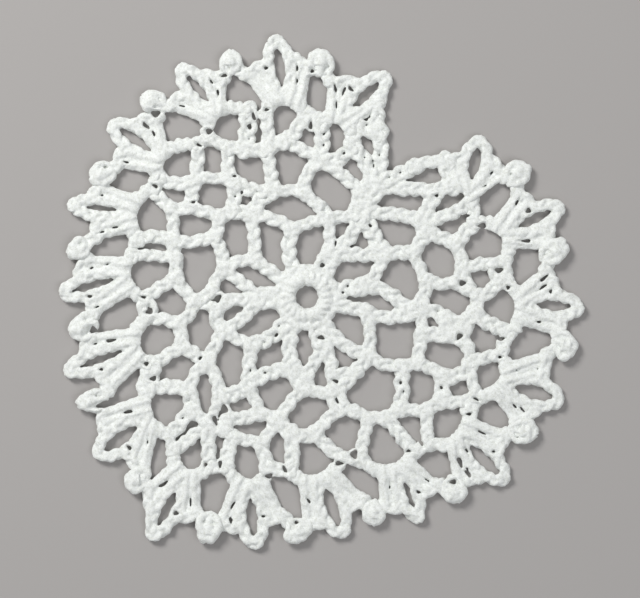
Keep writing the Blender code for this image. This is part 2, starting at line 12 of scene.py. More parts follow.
import bpy
import numpy as np
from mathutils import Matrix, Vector


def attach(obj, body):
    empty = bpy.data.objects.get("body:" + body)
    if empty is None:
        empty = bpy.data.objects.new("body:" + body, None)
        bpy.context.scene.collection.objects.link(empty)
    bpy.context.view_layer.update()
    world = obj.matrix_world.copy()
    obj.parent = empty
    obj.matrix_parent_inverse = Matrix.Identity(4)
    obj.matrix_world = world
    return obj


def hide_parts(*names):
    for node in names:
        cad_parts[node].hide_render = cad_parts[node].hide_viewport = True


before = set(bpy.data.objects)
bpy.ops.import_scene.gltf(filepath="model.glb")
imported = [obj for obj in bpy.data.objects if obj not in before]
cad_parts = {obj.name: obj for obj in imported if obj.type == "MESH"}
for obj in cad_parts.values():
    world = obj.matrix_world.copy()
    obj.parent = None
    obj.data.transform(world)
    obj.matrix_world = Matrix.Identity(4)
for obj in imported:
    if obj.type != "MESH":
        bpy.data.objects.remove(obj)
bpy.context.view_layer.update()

# %% [markdown]
# ## Sizes of the yarn
# A soft, thick cotton, 2.7 mm across where it is loose. A crocheted fabric has no other measure than
# its yarn, so this is the size that all the others go by. The chart is in millimetres from the middle
# of the ring, so the ring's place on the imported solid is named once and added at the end.

# %% Sizes
MM = 0.001                  # the frame is in metres, and the sizes in this script in millimetres
YARN = 2.7                  # the yarn's diameter, fluffed out
RING_RADIUS = 9.2           # where the chains leave the ring, from its middle
RING_PLACE = (-5.84, -2.20)    # the ring's middle, from the doily's middle
LACE_HEIGHT = 1.95          # middle of the lace above the table
GOLDEN = math.radians(137.5)    # turns each next shape or winding so that no two neighbours match
print("yarn", YARN, "mm, ring", 2 * RING_RADIUS, "mm across")

# %% [markdown]
# ## The stitch chart
# Four rounds of knots as they lie, then the chains between them with their width and how far they
# swing out to the left of their way, then the seventeen fans and sixteen bobbles of the edge. Nothing
# here is symmetric: cotton lace that was never pinned out keeps every pull of the hook.

# %% Chart
# Stitch chart. Knots: name: (x_mm, y_mm).
FIRST_ROUND = {
    "a1": (-6.0, 28.5), "a2": (10.5, 18.5), "a3": (9.5, 33.0), "a6": (32.0, 18.5),
    "a7": (22.0, 4.2), "a8": (24.5, -5.8), "a9": (43.0, -6.5), "a10": (26.0, -24.5),
    "a11": (6.5, -20.0), "a12": (-6.5, -30.0), "a13": (-23.0, -20.0), "a14": (-34.5, -14.5),
    "a15": (-19.0, -0.5), "a16": (-35.0, 12.0), "a17": (-38.0, -5.5), "a18": (-21.5, 15.0),
    "a19": (-23.0, 34.5), "a20": (-33.5, -1.5),
}
SECOND_ROUND = {
    "b1": (5.0, 38.5), "b2": (44.5, 18.5), "b3": (50.0, 7.0), "b4": (48.0, 31.8),
    "b5": (50.5, 27.3), "e1": (47.5, -4.0), "e2": (48.0, -15.5), "e3": (46.5, -28.0),
    "e7": (40.0, -29.0), "h1": (-1.5, -37.0), "h2": (12.0, -39.5), "h6": (-25.0, -37.5),
    "h7": (10.3, -32.0), "h8": (20.5, -31.5), "k1": (-40.0, 2.8), "k2": (-38.5, 25.5),
    "k3": (-36.5, 34.0), "k7": (-46.5, -1.5), "k10": (-41.5, -27.5), "k14": (-36.8, -42.5),
    "k32": (-31.0, 36.0), "l6": (-14.0, 44.3), "l7": (-1.0, 43.3), "c1": (22.0, 34.5),
    "c2": (24.0, 41.5),
}
THIRD_ROUND = {
    "b6": (62.5, 22.5), "b10": (65.0, 11.5), "b12": (62.0, 6.0), "d2": (66.0, -12.0),
    "d3": (58.0, -9.0), "d4": (58.5, -16.0), "d5": (67.5, -20.5), "e4": (56.5, -33.0),
    "e5": (56.5, -43.5), "e6": (39.0, -47.0), "e8": (50.5, -47.0), "g1": (32.5, -50.8),
    "g2": (20.0, -48.0), "g4": (26.0, -51.0), "h3": (13.5, -46.5), "h4": (3.5, -57.0),
    "h5": (-12.5, -52.0), "h9": (-7.0, -57.0), "h12": (-20.5, -49.3), "h13": (-33.3, -50.8),
    "k4": (-49.5, 37.8), "k5": (-56.5, 23.5), "k6": (-55.0, 8.0), "k8": (-53.5, -11.3),
    "k9": (-52.5, -20.5), "k11": (-49.8, -38.8), "k12": (-41.3, -53.5), "k13": (-34.8, -56.0),
    "k20": (-48.5, -48.0), "k26": (-55.2, 16.0), "k29": (-57.0, 37.0), "l1": (-30.5, 48.0),
    "l2": (-47.0, 49.0), "l8": (5.5, 57.0), "c3": (28.0, 47.0),
}
FOURTH_ROUND = {
    "b7": (70.0, 31.0), "b8": (69.0, 40.5), "b9": (78.0, 13.8), "b11": (71.5, 0.8),
    "b13": (83.4, 16.0), "b14": (81.0, 7.5), "b15": (85.6, 4.5), "d1": (70.3, -7.3),
    "d6": (85.0, -15.0), "d7": (81.5, -24.3), "d8": (69.0, -27.5), "e9": (50.5, -62.0),
    "e10": (44.5, -65.0), "e11": (58.0, -62.3), "g5": (22.3, -66.0), "g6": (14.8, -67.5),
    "g8": (26.5, -71.5), "h10": (-7.0, -73.5), "h11": (-19.3, -61.5), "h15": (-30.5, -59.0),
    "k16": (-34.0, -71.0), "k17": (-41.5, -71.3), "k18": (-16.5, -72.5), "k19": (-67.0, -38.0),
    "k21": (-57.3, -57.5), "k22": (-56.3, -65.0), "k23": (-65.5, -29.0), "k24": (-67.5, -8.8),
    "k25": (-68.0, -0.8), "k27": (-73.0, 17.8), "k28": (-71.0, 24.3), "k30": (-65.5, 45.0),
    "k31": (-62.0, 50.0), "l3": (-46.0, 64.3), "l4": (-26.0, 62.0), "l5": (-9.5, 65.3),
    "l9": (19.0, 63.5), "l11": (-41.0, 66.5), "l12": (-24.5, 78.0), "l13": (-17.0, 61.0),
    "l14": (-17.5, 77.0), "l15": (-0.5, 76.5), "l16": (6.0, 73.5), "l17": (-33.0, 62.5),
    "m1": (54.8, 44.8), "m2": (60.5, 46.5), "n1": (45.0, 54.6), "n2": (58.5, 57.0),
    "o1": (29.0, 81.0), "o2": (30.1, 69.0), "o3": (20.5, 72.5), "q1": (68.2, -47.8), "q3": (71.2, -41.6),
}

# What leaves the ring: (bearing_deg round the ring, to, width_mm, bow_mm). Every bow is to the left
# of the way from the first end to the second.
FROM_RING = (
    (120, "a1", 6.0, 2.2), (59, "a2", 9.0, 0.0), (13, "a7", 7.0, 0.0), (-16, "a8", 5.6, 0.0),
    (-50, "a10", 5.4, -3.6), (-70, "a11", 8.2, 0.0), (242, "a12", 6.2, -1.8),
    (222, "a13", 6.2, 2.6), (181, "a15", 9.0, 0.0), (142, "a18", 5.2, 0.0),
)
# Chains and posts: (from, to, width_mm, bow_mm).
FIRST_CHAINS = (
    ("a1", "a3", 4.6, 0.6), ("a1", "a19", 5.0, -1.4), ("a2", "a3", 4.4, 0.8),
    ("a2", "c1", 5.4, -2.2), ("a2", "a6", 5.8, -0.8), ("a3", "b1", 5.0, 0.0),
    ("a3", "c1", 4.8, 0.0), ("a7", "a6", 5.0, -2.2), ("a7", "a9", 5.4, 3.4),
    ("a8", "a9", 5.4, -2.4), ("a8", "a10", 4.8, 1.0), ("a6", "b2", 5.8, 0.0),
    ("a6", "c1", 6.8, -0.6), ("a11", "h1", 5.0, 0.0), ("a11", "h7", 5.0, 1.4),
    ("a12", "h1", 8.0, 0.0), ("a12", "h6", 6.2, -1.8), ("a13", "a14", 4.8, 0.6),
    ("a13", "h6", 5.4, -0.4), ("a15", "a14", 4.8, 0.8), ("a15", "a16", 5.0, 0.0),
    ("a15", "a20", 5.0, 0.0), ("a20", "a17", 5.2, 0.0), ("a20", "k1", 3.2, 0.0),
    ("a17", "a14", 5.6, -1.6), ("a17", "k7", 4.2, 0.0), ("a18", "a16", 4.6, -1.6),
    ("a18", "a19", 5.2, 0.0), ("a16", "k1", 4.6, -0.6), ("a16", "k2", 5.0, -0.8),
    ("a19", "k32", 6.0, 0.0), ("a19", "l6", 6.0, 1.8), ("a14", "k10", 5.0, -1.0),
    ("a9", "e1", 8.0, 0.0), ("a10", "h8", 5.6, 0.0), ("a10", "e7", 4.8, -1.6),
)
SECOND_CHAINS = (
    ("b1", "l7", 4.4, 0.0), ("c1", "c2", 10.0, 0.0), ("c2", "c3", 11.0, 0.0),
    ("c1", "b4", 5.6, 2.0), ("b2", "b3", 4.6, 0.0), ("b2", "b5", 5.6, 0.0),
    ("b4", "b5", 7.0, 0.0), ("b3", "e1", 5.6, 0.6), ("b3", "b12", 4.8, -0.8),
    ("e1", "e2", 4.6, 0.6), ("e1", "d3", 6.0, 0.6), ("e2", "e3", 5.0, 0.0),
    ("e2", "d4", 6.0, 0.0), ("e7", "e3", 5.0, 0.0), ("e7", "e6", 6.0, 0.4),
    ("e3", "e4", 5.0, 0.6), ("h1", "h2", 4.6, -1.8), ("h7", "h2", 4.4, 0.0),
    ("h7", "h8", 4.0, 0.0), ("h8", "h2", 4.6, 0.8), ("h2", "h3", 8.0, 0.0),
    ("h1", "h5", 5.0, 0.0), ("h6", "h12", 5.0, 1.0), ("h6", "k14", 6.0, 0.6),
    ("k1", "k7", 5.2, 0.6), ("k2", "k3", 5.0, 0.0), ("k2", "k5", 5.0, 1.2),
    ("k3", "k32", 6.0, 0.0), ("k3", "k4", 5.0, 0.0), ("k32", "l1", 6.0, 0.0),
    ("k7", "k6", 5.4, 0.8), ("k7", "k8", 5.0, 0.8), ("k10", "k9", 5.4, 0.0),
    ("k10", "k14", 5.0, 1.0), ("k10", "k11", 5.0, -1.6), ("k14", "k12", 3.6, 0.0),
    ("k14", "h13", 3.2, 1.2), ("l6", "l7", 4.4, 1.2), ("l6", "l1", 6.0, 1.2),
    ("l6", "l13", 5.2, -0.4), ("l7", "l8", 5.0, 2.4), ("c2", "l8", 5.0, -1.6),
    ("c3", "l9", 6.2, -1.4), ("c3", "m1", 5.6, -0.4), ("c3", "n1", 6.0, -0.4),
    ("c3", "o2", 6.2, -2.0),
)
THIRD_CHAINS = (
    ("b4", "b8", 5.2, -1.8), ("b4", "m1", 6.2, 0.0), ("b5", "b6", 5.6, 0.0),
    ("b6", "b7", 6.0, 0.0), ("b6", "b10", 5.2, 0.6), ("b12", "b10", 4.2, 0.0),
    ("b12", "b11", 3.2, -0.8), ("b10", "b11", 3.6, -0.3), ("b10", "b9", 5.0, 1.0),
    ("d3", "d4", 6.4, 0.0), ("d3", "d2", 6.0, 0.0), ("d4", "d2", 4.4, 0.0),
    ("d4", "d5", 3.8, 0.0), ("d2", "d5", 4.0, -0.8), ("d2", "d1", 7.0, 0.0),
    ("d5", "d8", 4.8, 0.0), ("e4", "e5", 6.6, 0.6), ("e4", "d8", 6.2, -2.8),
    ("e5", "q3", 5.0, -1.6), ("e8", "e5", 5.4, 0.0), ("e6", "e8", 5.0, -0.8),
    ("e6", "g1", 5.2, 0.0), ("e8", "e9", 4.8, -0.2), ("g1", "g4", 5.0, 0.0),
    ("g4", "g2", 4.8, 0.0), ("g2", "h3", 4.8, 0.0), ("g4", "g5", 5.0, 0.0),
    ("g1", "e10", 5.6, 0.6), ("h3", "h4", 5.0, 0.0), ("h4", "h9", 6.0, 1.4),
    ("h4", "g6", 5.4, -0.8), ("h5", "h9", 6.4, 0.4), ("h5", "h11", 4.6, 0.0),
    ("h5", "h12", 5.2, -1.2), ("h12", "h13", 5.6, 0.6), ("h13", "k13", 5.0, 0.0),
    ("k13", "k12", 4.6, 0.0), ("h9", "h10", 6.0, 0.8), ("k4", "l2", 5.4, 0.0),
    ("k4", "k29", 5.0, 0.6), ("k29", "k5", 4.8, 0.8), ("k29", "k30", 5.0, 0.0),
    ("k5", "k26", 5.6, 0.0), ("k5", "k28", 5.0, -1.6), ("k26", "k6", 5.4, 0.0),
    ("k26", "k27", 4.6, -0.4), ("k6", "k25", 5.0, -0.6), ("k8", "k9", 5.6, 0.0),
    ("k8", "k24", 5.0, -0.8), ("k9", "k23", 5.0, 0.0), ("k11", "k19", 5.8, -0.8),
    ("k11", "k20", 6.4, 0.6), ("k20", "k21", 6.0, 0.0), ("k20", "k12", 5.0, 0.0),
    ("k12", "k22", 5.0, 0.0), ("k12", "k17", 5.6, 0.0), ("k13", "h15", 5.0, 0.0),
    ("l1", "l2", 4.4, -1.6), ("l1", "l17", 5.0, 1.6), ("l2", "k31", 5.4, 1.8),
    ("l2", "l3", 5.4, -0.6), ("l8", "l9", 6.4, -2.6), ("l8", "l16", 6.2, -0.4),
    ("l8", "l5", 5.0, -0.6),
)
FOURTH_CHAINS = (
    ("b7", "b8", 5.2, -0.8), ("b9", "b13", 4.6, 0.0), ("b9", "b14", 2.6, -2.0),
    ("b11", "b14", 5.4, -1.8), ("b14", "b15", 4.4, 0.0), ("b13", "b15", 3.8, -0.4),
    ("b11", "d1", 4.8, 0.4), ("d1", "d6", 6.0, -0.4), ("d6", "d7", 5.4, -0.6),
    ("d8", "d7", 4.8, 0.6), ("d8", "q3", 4.2, -0.8), ("q3", "q1", 6.4, 0.0),
    ("e9", "e10", 5.0, 0.0), ("e9", "e11", 5.2, 0.0), ("g5", "g6", 4.6, 0.0),
    ("g5", "g8", 4.6, 0.0), ("g6", "g8", 4.0, 0.6), ("h11", "k18", 5.6, 0.0),
    ("h11", "h15", 5.0, 0.0), ("h15", "k16", 5.6, -0.8), ("k16", "k17", 5.6, 0.0),
    ("k18", "h10", 6.0, 0.8), ("k19", "k23", 7.6, 0.0), ("k21", "k22", 5.2, 0.0),
    ("k24", "k25", 3.6, 1.8), ("k24", "k25", 2.4, -3.8), ("k27", "k28", 6.0, 0.0),
    ("k30", "k31", 6.0, 0.0), ("l3", "l11", 5.0, 0.0), ("l11", "l17", 4.6, 0.0),
    ("l17", "l4", 5.4, 0.0), ("l4", "l12", 7.2, 0.0), ("l4", "l13", 5.4, 0.0),
    ("l13", "l5", 5.4, 0.6), ("l13", "l14", 5.0, -0.8), ("l5", "l15", 6.0, -0.8),
    ("l15", "l16", 8.0, -1.0), ("m1", "m2", 5.6, 0.0), ("m2", "n2", 7.0, 0.0),
    ("n1", "n2", 5.0, 0.8), ("o1", "o2", 6.2, 0.0), ("l9", "o3", 6.4, 0.0),
    ("o3", "o2", 7.0, 0.0),
)

# Fans: name: (base on the arch, root and tip of the loop's slot, slot_mm, outer end on the far side,
# outer end on the near side, cup knot on the far side, cup knot on the near side, and how far from
# the base towards each of those knots the outer post stands, far_mm and near_mm). They follow each
# other against the clock from the notch; the far side is the one towards the next fan.
FANS = {
    "f1": ((15.0, 76.0), (19.4, 79.8), (30.6, 90.2), 4.8,
           (9.6, 90.0), (29.0, 81.0), "l16", "l9", 6.4, 6.6),
    "f2": ((-10.5, 84.5), (-10.4, 88.5), (-12.6, 104.9), 4.9,
           (-26.0, 93.0), (0.6, 95.0), "l14", "l15", 6.6, 9.6),
    "f3": ((-40.0, 78.0), (-41.2, 81.9), (-50.8, 93.2), 3.8,
           (-57.4, 79.9), (-35.3, 91.0), "l11", "l12", 4.4, 5.4),
    "f4": ((-63.0, 59.0), (-65.4, 61.4), (-79.0, 70.8), 4.4,
           (-79.6, 55.4), (-62.4, 75.4), "k31", "l3", 6.2, 4.6),
    "f5": ((-74.5, 36.3), (-77.5, 36.3), (-95.4, 38.3), 2.8,
           (-87.5, 25.6), (-86.0, 46.6), "k28", "k30", 8.4, 6.2),
    "f6": ((-77.6, 8.3), (-80.2, 7.8), (-99.4, 2.4), 3.8,
           (-89.3, -7.0), (-92.2, 16.6), "k25", "k27", 7.2, 7.4),
    "f7": ((-73.6, -20.5), (-76.5, -22.4), (-97.2, -30.0), 3.6,
           (-82.6, -39.2), (-90.5, -16.2), "k23", "k24", 7.6, 6.8),
    "f8": ((-67.5, -51.0), (-71.6, -54.6), (-84.9, -64.4), 6.0,
           (-67.8, -73.6), (-85.4, -48.0), "k21", "k19", 6.0, 9.0),
    "f9": ((-51.5, -76.0), (-54.6, -80.8), (-63.3, -97.3), 4.4,
           (-45.8, -90.6), (-66.5, -79.8), "k17", "k22", 5.6, 8.0),
    "f10": ((-24.0, -80.5), (-24.0, -84.7), (-22.2, -100.5), 5.2,
            (-10.5, -91.2), (-37.2, -94.4), "k18", "k16", 8.0, 7.0),
    "f11": ((4.5, -78.0), (7.6, -80.6), (13.4, -96.2), 5.6,
            (23.4, -84.6), (-0.6, -95.4), "g6", "h10", 9.0, 7.4),
    "f12": ((37.5, -72.6), (40.4, -76.2), (45.4, -89.9), 2.6,
            (54.8, -78.6), (32.0, -87.6), "e10", "g8", 7.0, 7.0),
    "f13": ((64.6, -58.0), (68.2, -62.6), (80.5, -74.4), 5.6,
            (83.0, -57.4), (62.8, -77.0), "q1", "e11", 7.6, 6.8),
    "f14": ((83.6, -36.5), (87.3, -37.8), (103.0, -42.2), 6.2,
            (100.6, -23.6), (87.6, -52.4), "d7", "q3", 7.6, 6.6),
    "f15": ((90.5, -3.8), (95.8, -3.0), (111.0, -4.2), 4.8,
            (99.8, 11.6), (104.8, -15.0), "b15", "d6", 6.6, 7.0),
    "f16": ((84.3, 28.0), (88.3, 29.3), (102.9, 36.4), 4.4,
            (88.2, 43.8), (101.0, 20.8), "b7", "b13", 6.4, 6.6),
    "f17": ((68.2, 46.3), (69.0, 49.8), (71.8, 62.6), 5.4,
            (60.0, 57.0), (83.0, 49.8), "m1", "b8", 6.6, 6.4),
}
# Bobbles: name: (x_mm, y_mm, radius_mm, fan before it, fan after it).
BOBBLES = {
    "bobble1": (5.8, 99.0, 5.9, "f1", "f2"), "bobble2": (-32.0, 99.0, 5.9, "f2", "f3"),
    "bobble3": (-65.2, 81.9, 5.7, "f3", "f4"), "bobble4": (-86.3, 51.3, 5.8, "f4", "f5"),
    "bobble5": (-96.4, 19.8, 5.8, "f5", "f6"), "bobble6": (-94.5, -13.0, 6.0, "f6", "f7"),
    "bobble7": (-91.0, -44.0, 6.0, "f7", "f8"), "bobble8": (-71.8, -76.8, 5.8, "f8", "f9"),
    "bobble9": (-41.3, -97.4, 6.0, "f9", "f10"), "bobble10": (-4.0, -98.5, 6.1, "f10", "f11"),
    "bobble11": (27.5, -91.0, 5.6, "f11", "f12"), "bobble12": (61.3, -81.5, 6.0, "f12", "f13"),
    "bobble13": (91.3, -56.5, 6.0, "f13", "f14"), "bobble14": (108.5, -20.5, 6.3, "f14", "f15"),
    "bobble15": (104.3, 19.5, 6.1, "f15", "f16"), "bobble16": (88.5, 52.0, 5.9, "f16", "f17"),
}

# Small gaps that the strands leave where they part again: (x_mm, y_mm, length_mm, width_mm,
# bearing_deg of the length).
SMALL_GAPS = (
    (-63.6, 77.0, 3.8, 2.8, 0), (-89.7, -13.8, 3.0, 2.8, 0), (-85.6, -45.2, 5.6, 2.8, 15),
    (-34.8, -47.1, 3.8, 3.0, 90), (19.8, -66.0, 3.8, 3.0, 90), (-16.0, -75.1, 3.2, 2.0, 10),
    (13.5, -69.8, 3.4, 1.8, 0), (73.6, 30.0, 3.4, 2.2, 0), (80.6, 11.3, 3.6, 2.2, 5),
    (-37.4, -0.6, 3.4, 2.6, 60), (-66.2, -6.0, 3.2, 2.3, 20), (65.2, 5.9, 2.8, 2.3, 0),
    (64.0, -16.5, 3.0, 2.2, 45), (81.3, -17.5, 3.6, 1.5, 0), (64.2, -69.3, 4.8, 1.8, -68),
    (61.3, -77.6, 2.8, 2.1, 0), (-41.1, 69.6, 2.8, 2.4, 0), (5.9, -17.0, 3.2, 1.7, -10),
    (-64.6, -34.2, 2.8, 2.0, 15), (-38.6, -51.8, 4.6, 1.7, -70), (-75.2, -48.2, 4.4, 1.3, 12),
    (-60.4, -78.6, 5.2, 1.3, 32), (66.5, 33.9, 4.5, 1.4, 18), (92.1, 23.6, 4.0, 1.4, 0),
    (-82.3, -18.2, 4.8, 1.3, 10), (67.6, -74.2, 4.0, 1.5, -48), (-9.4, -72.2, 3.8, 1.4, -62),
    (1.5, 72.0, 3.4, 1.6, 88), (-36.5, -70.2, 3.4, 1.5, 88), (-67.7, 72.0, 3.6, 1.4, -45),
    (93.0, 36.3, 2.2, 2.2, 0), (-22.4, 75.9, 4.0, 1.3, -72), (99.5, 7.9, 4.6, 1.3, 40),
)
print("fans", len(FANS), "bobbles", len(BOBBLES))

# %% [markdown]
# ## Places and directions
# Every bow in the chart is to the left of a line's way, so one function turns directions to the left.
# Another finds places on the ring, which are given by their bearing and not by a knot. Both take whole
# arrays, because later every point of a path needs its own direction.

# %% Places and directions
KNOTS = {name: np.array(place) for table in (FIRST_ROUND, SECOND_ROUND, THIRD_ROUND, FOURTH_ROUND)
         for name, place in table.items()}


def across(along):
    """The unit vectors a quarter turn against the clock from the given flat vectors."""
    turned = np.stack([-along[..., 1], along[..., 0]], axis=-1)
    return turned / np.linalg.norm(turned, axis=-1, keepdims=True)


def on_ring(bearing, radius=RING_RADIUS):
    """Points at bearings in degrees: radius * (cos b, sin b)."""
    turn = np.radians(bearing)
    return radius * np.stack([np.cos(turn), np.sin(turn)], axis=-1)


print("knots", len(KNOTS))

# %% [markdown]
# ## Paths in the flat
# Each line of the chart first becomes a path in the plane: a shallow parabola for a chain, two of
# them with their corner rounded for the arch under a fan, and a lens for a fan's tall loop. Working in
# whole arrays, a path is an (n, 2) table of points spaced closely enough that a yarn can wind along it.

# %% Paths
PATH_STEP = 0.5             # distance between the points of a path
LEAST_POINTS = 4            # points on the shortest
LOOP_CHAIN = 4.2            # a tall loop's chain, which is drawn tighter than the others
LOOP_PAST = 3.1             # how far its middle line goes past its slot at both ends
LOOP_POINT = 0.15           # how pointed the slot's ends are: 0 is an oval
LOOP_ROUND = 2.4            # the way round a loop, over its length


def bowed(start, end, bow):
    """start + t (end - start) + 4 bow t (1 - t) * left, for t from 0 to 1."""
    start, end = np.asarray(start, float), np.asarray(end, float)
    along = end - start
    count = max(LEAST_POINTS, math.ceil(np.linalg.norm(along) / PATH_STEP))
    share = np.linspace(0, 1, count)[:, None]
    return start + share * along + 4 * bow * share * (1 - share) * across(along)


def rounded(path, window):
    """The path with each point moved to the mean of those up to half a window away on both sides, or
    less where an end of the path is nearer."""
    place = np.arange(len(path))
    reach = np.minimum(round(window / 2 / PATH_STEP), np.minimum(place, place[::-1]))
    total = np.concatenate([np.zeros((1, 2)), np.cumsum(path, axis=0)])
    return (total[place + reach + 1] - total[place - reach]) / (2 * reach + 1)[:, None]


def lens(root, tip, slot):
    """A loop round a slot, from LOOP_PAST before its root to as far past its tip: share
    (1 - cos u) / 2 of that way, and to the side by the reach times sin u times |sin u| ** LOOP_POINT,
    for u once round."""
    past = LOOP_PAST * (tip - root) / np.linalg.norm(tip - root)
    along = tip - root + 2 * past
    turn = np.linspace(0, math.tau, math.ceil(LOOP_ROUND * np.linalg.norm(along) / PATH_STEP))[:-1, None]
    reach = (slot + LOOP_CHAIN) / 2
    out = reach * np.sin(turn) * abs(np.sin(turn)) ** LOOP_POINT
    return root - past + (1 - np.cos(turn)) / 2 * along + out * across(along)


print("points", PATH_STEP, "mm apart along a path")

# %% [markdown]
# ## A yarn as a surface
# A yarn is one profile carried along a curve. The profile isn't a circle: the plies show as three low
# lobes, and turning the profile as it goes along makes their grooves run round like a rope's.

# %% Sweep one yarn
chance = np.random.default_rng(7)      # the same unevenness on every run
PLIES = 3                   # plies that are twisted into the yarn
PLY_DEPTH = 0.10            # how deep the groove between two plies is, over the yarn's radius
PLY_PITCH = 9.0             # length of one full turn of a ply
YARN_SIDES = 12             # points round a yarn
WANDER_WAVES = np.array([19.0, 8.3, 4.7])     # lengths over which a soft yarn wanders
WANDER_GAIN = 1.4           # three sines seldom agree, so their mean is brought up by this
STRAY = 0.22                # how far a yarn wanders from its path
SWELL = 0.07                # how much its radius changes, as a share


def wander(length, total, closed):
    """WANDER_GAIN times the mean of three sines of the length, each of its own wave and random start."""
    waves = total / np.maximum(1, np.round(total / WANDER_WAVES)) if closed else WANDER_WAVES
    starts = chance.uniform(0, math.tau, 3)
    return np.sin(math.tau * length[:, None] / waves + starts).mean(axis=1) * WANDER_GAIN


def sweep(path, up, radius=YARN / 2, closed=False):
    """Points path(s) + r(a) * (side cos(a + w) + over sin(a + w)), where side and over span the plane
    across the way, w = tau s / PLY_PITCH, in whole turns on a closed path, and r(a) = radius
    (1 + PLY_DEPTH cos(PLIES a)). Path and radius wander a little."""
    ahead = np.gradient(path, axis=0)
    if closed:
        ahead = np.roll(path, -1, axis=0) - np.roll(path, 1, axis=0)
    ahead /= np.linalg.norm(ahead, axis=1, keepdims=True)
    side = np.cross(ahead, up)
    side /= np.linalg.norm(side, axis=1, keepdims=True)
    over = np.cross(side, ahead)
    steps = np.linalg.norm(np.diff(path, axis=0), axis=1)
    length = np.concatenate([[0.0], np.cumsum(steps)])
    total = length[-1] + (np.linalg.norm(path[0] - path[-1]) if closed else 0.0)
    path = (path + STRAY * wander(length, total, closed)[:, None] * side
            + STRAY * wander(length, total, closed)[:, None] * over)
    around = math.tau * np.arange(YARN_SIDES) / YARN_SIDES
    turns = max(1, round(total / PLY_PITCH)) / total if closed else 1 / PLY_PITCH
    angle = around[None, :] + math.tau * turns * length[:, None]
    girth = radius * (1 + SWELL * wander(length, total, closed))
    reach = girth[:, None] * (1 + PLY_DEPTH * np.cos(PLIES * around))
    points = (path[:, None, :] + (reach * np.cos(angle))[..., None] * side[:, None, :]
              + (reach * np.sin(angle))[..., None] * over[:, None, :])
    return points, closed


print("plies", PLIES, "turning once in", PLY_PITCH, "mm")

# %% [markdown]
# ## The faces of a tube
# Four-cornered faces join each ring of points to the next. A loop of yarn ends where it began, and the
# ends of any other are closed by triangles round a point in their middle, because the skin that is
# grown over the tubes has to know what is inside them.

# %% Faces of a tube
def tube_faces(rings, closed, first):
    """Corner numbers of the quads between neighbouring rings, and of the triangles that close the
    ends; first is the number of the tube's first point."""
    row = np.arange(rings if closed else rings - 1)[:, None]
    col = np.arange(YARN_SIDES)[None, :]
    here, there = row * YARN_SIDES, (row + 1) % rings * YARN_SIDES
    nxt = (col + 1) % YARN_SIDES
    quads = np.stack([here + col, here + nxt, there + nxt, there + col], axis=-1).reshape(-1, 4)
    if closed:
        return quads + first, np.empty((0, 3), int)
    spin = np.arange(YARN_SIDES)
    start = np.stack([np.full(YARN_SIDES, rings * YARN_SIDES), (spin + 1) % YARN_SIDES, spin], axis=-1)
    last = (rings - 1) * YARN_SIDES
    end = np.stack([np.full(YARN_SIDES, rings * YARN_SIDES + 1), last + spin,
                    last + (spin + 1) % YARN_SIDES], axis=-1)
    return quads + first, np.concatenate([start, end]) + first


print("faces between two rings", len(tube_faces(2, False, 0)[0]))

# %% [markdown]
# ## Small gaps
# Where posts or chains part a little between two knots, the table shows through a gap too small for
# the stitch chart. Each is opened by a shape like an hourglass: a gap in crochet is narrowest at
# mid height, where the yarns' round sides are nearest to each other, and flares above and below.

# %% Shapes that open the small gaps
GAP_SIDES = 12              # points round the shape
GAP_LEVELS = np.linspace(-1, 1, 7)     # heights of its rings of points, over GAP_REACH
GAP_REACH = 3.5             # from the lace's middle to the shape's top
GAP_FLARE = (4.2, 1.6)      # how much further out than at its waist it is there, ahead and aside
GAP_UNEVEN = 0.2            # how far its outline strays from an oval, as a share


def hourglasses(rows):
    """An object with points at the row's place + (a cos t, b sin t) turned by its bearing, at heights
    GAP_REACH h for h from -1 to 1. There a and b are half its length and width plus GAP_FLARE times
    h^2, both times 1 + GAP_UNEVEN sin(3 t + s) with another s for each row."""
    rows = np.array(rows)
    turn = math.tau * np.arange(GAP_SIDES) / GAP_SIDES
    uneven = 1 + GAP_UNEVEN * np.sin(3 * turn + GOLDEN * np.arange(len(rows))[:, None])[:, None, :]
    ahead = (rows[:, 2, None] / 2 + GAP_FLARE[0] * GAP_LEVELS ** 2)[..., None] * np.cos(turn) * uneven
    aside = (rows[:, 3, None] / 2 + GAP_FLARE[1] * GAP_LEVELS ** 2)[..., None] * np.sin(turn) * uneven
    bearing = np.radians(rows[:, 4])[:, None, None]
    x = rows[:, 0, None, None] + ahead * np.cos(bearing) - aside * np.sin(bearing)
    y = rows[:, 1, None, None] + ahead * np.sin(bearing) + aside * np.cos(bearing)
    z = np.broadcast_to((GAP_REACH * GAP_LEVELS)[:, None], x.shape)
    points = (np.stack([x, y, z], axis=-1).reshape(-1, 3) + [*RING_PLACE, LACE_HEIGHT]) * MM
    levels, col = len(GAP_LEVELS), np.arange(GAP_SIDES)
    first = (np.arange(len(rows)) * levels * GAP_SIDES)[:, None, None]
    here = np.arange(levels - 1)[:, None] * GAP_SIDES
    corners = np.stack([here + col, here + (col + 1) % GAP_SIDES,
                        here + GAP_SIDES + (col + 1) % GAP_SIDES, here + GAP_SIDES + col], axis=-1)
    sides = (first[..., None] + corners).reshape(-1, 4)
    floors = (first[:, 0] + col[::-1]).tolist()
    roofs = (first[:, 0] + (levels - 1) * GAP_SIDES + col).tolist()
    mesh = bpy.data.meshes.new("gap_shapes")
    mesh.from_pydata(points.tolist(), [], sides.tolist() + floors + roofs)
    shapes = bpy.data.objects.new("gap_shapes", mesh)
    bpy.context.scene.collection.objects.link(shapes)
    return shapes


print("small gaps", len(SMALL_GAPS))

# %% [markdown]
# ## Pinholes
# Finer still are the pinholes inside a knot or between two posts, which only the yarn's own scale can
# show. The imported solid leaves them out, so their table is here, in the same form as the small gaps'.

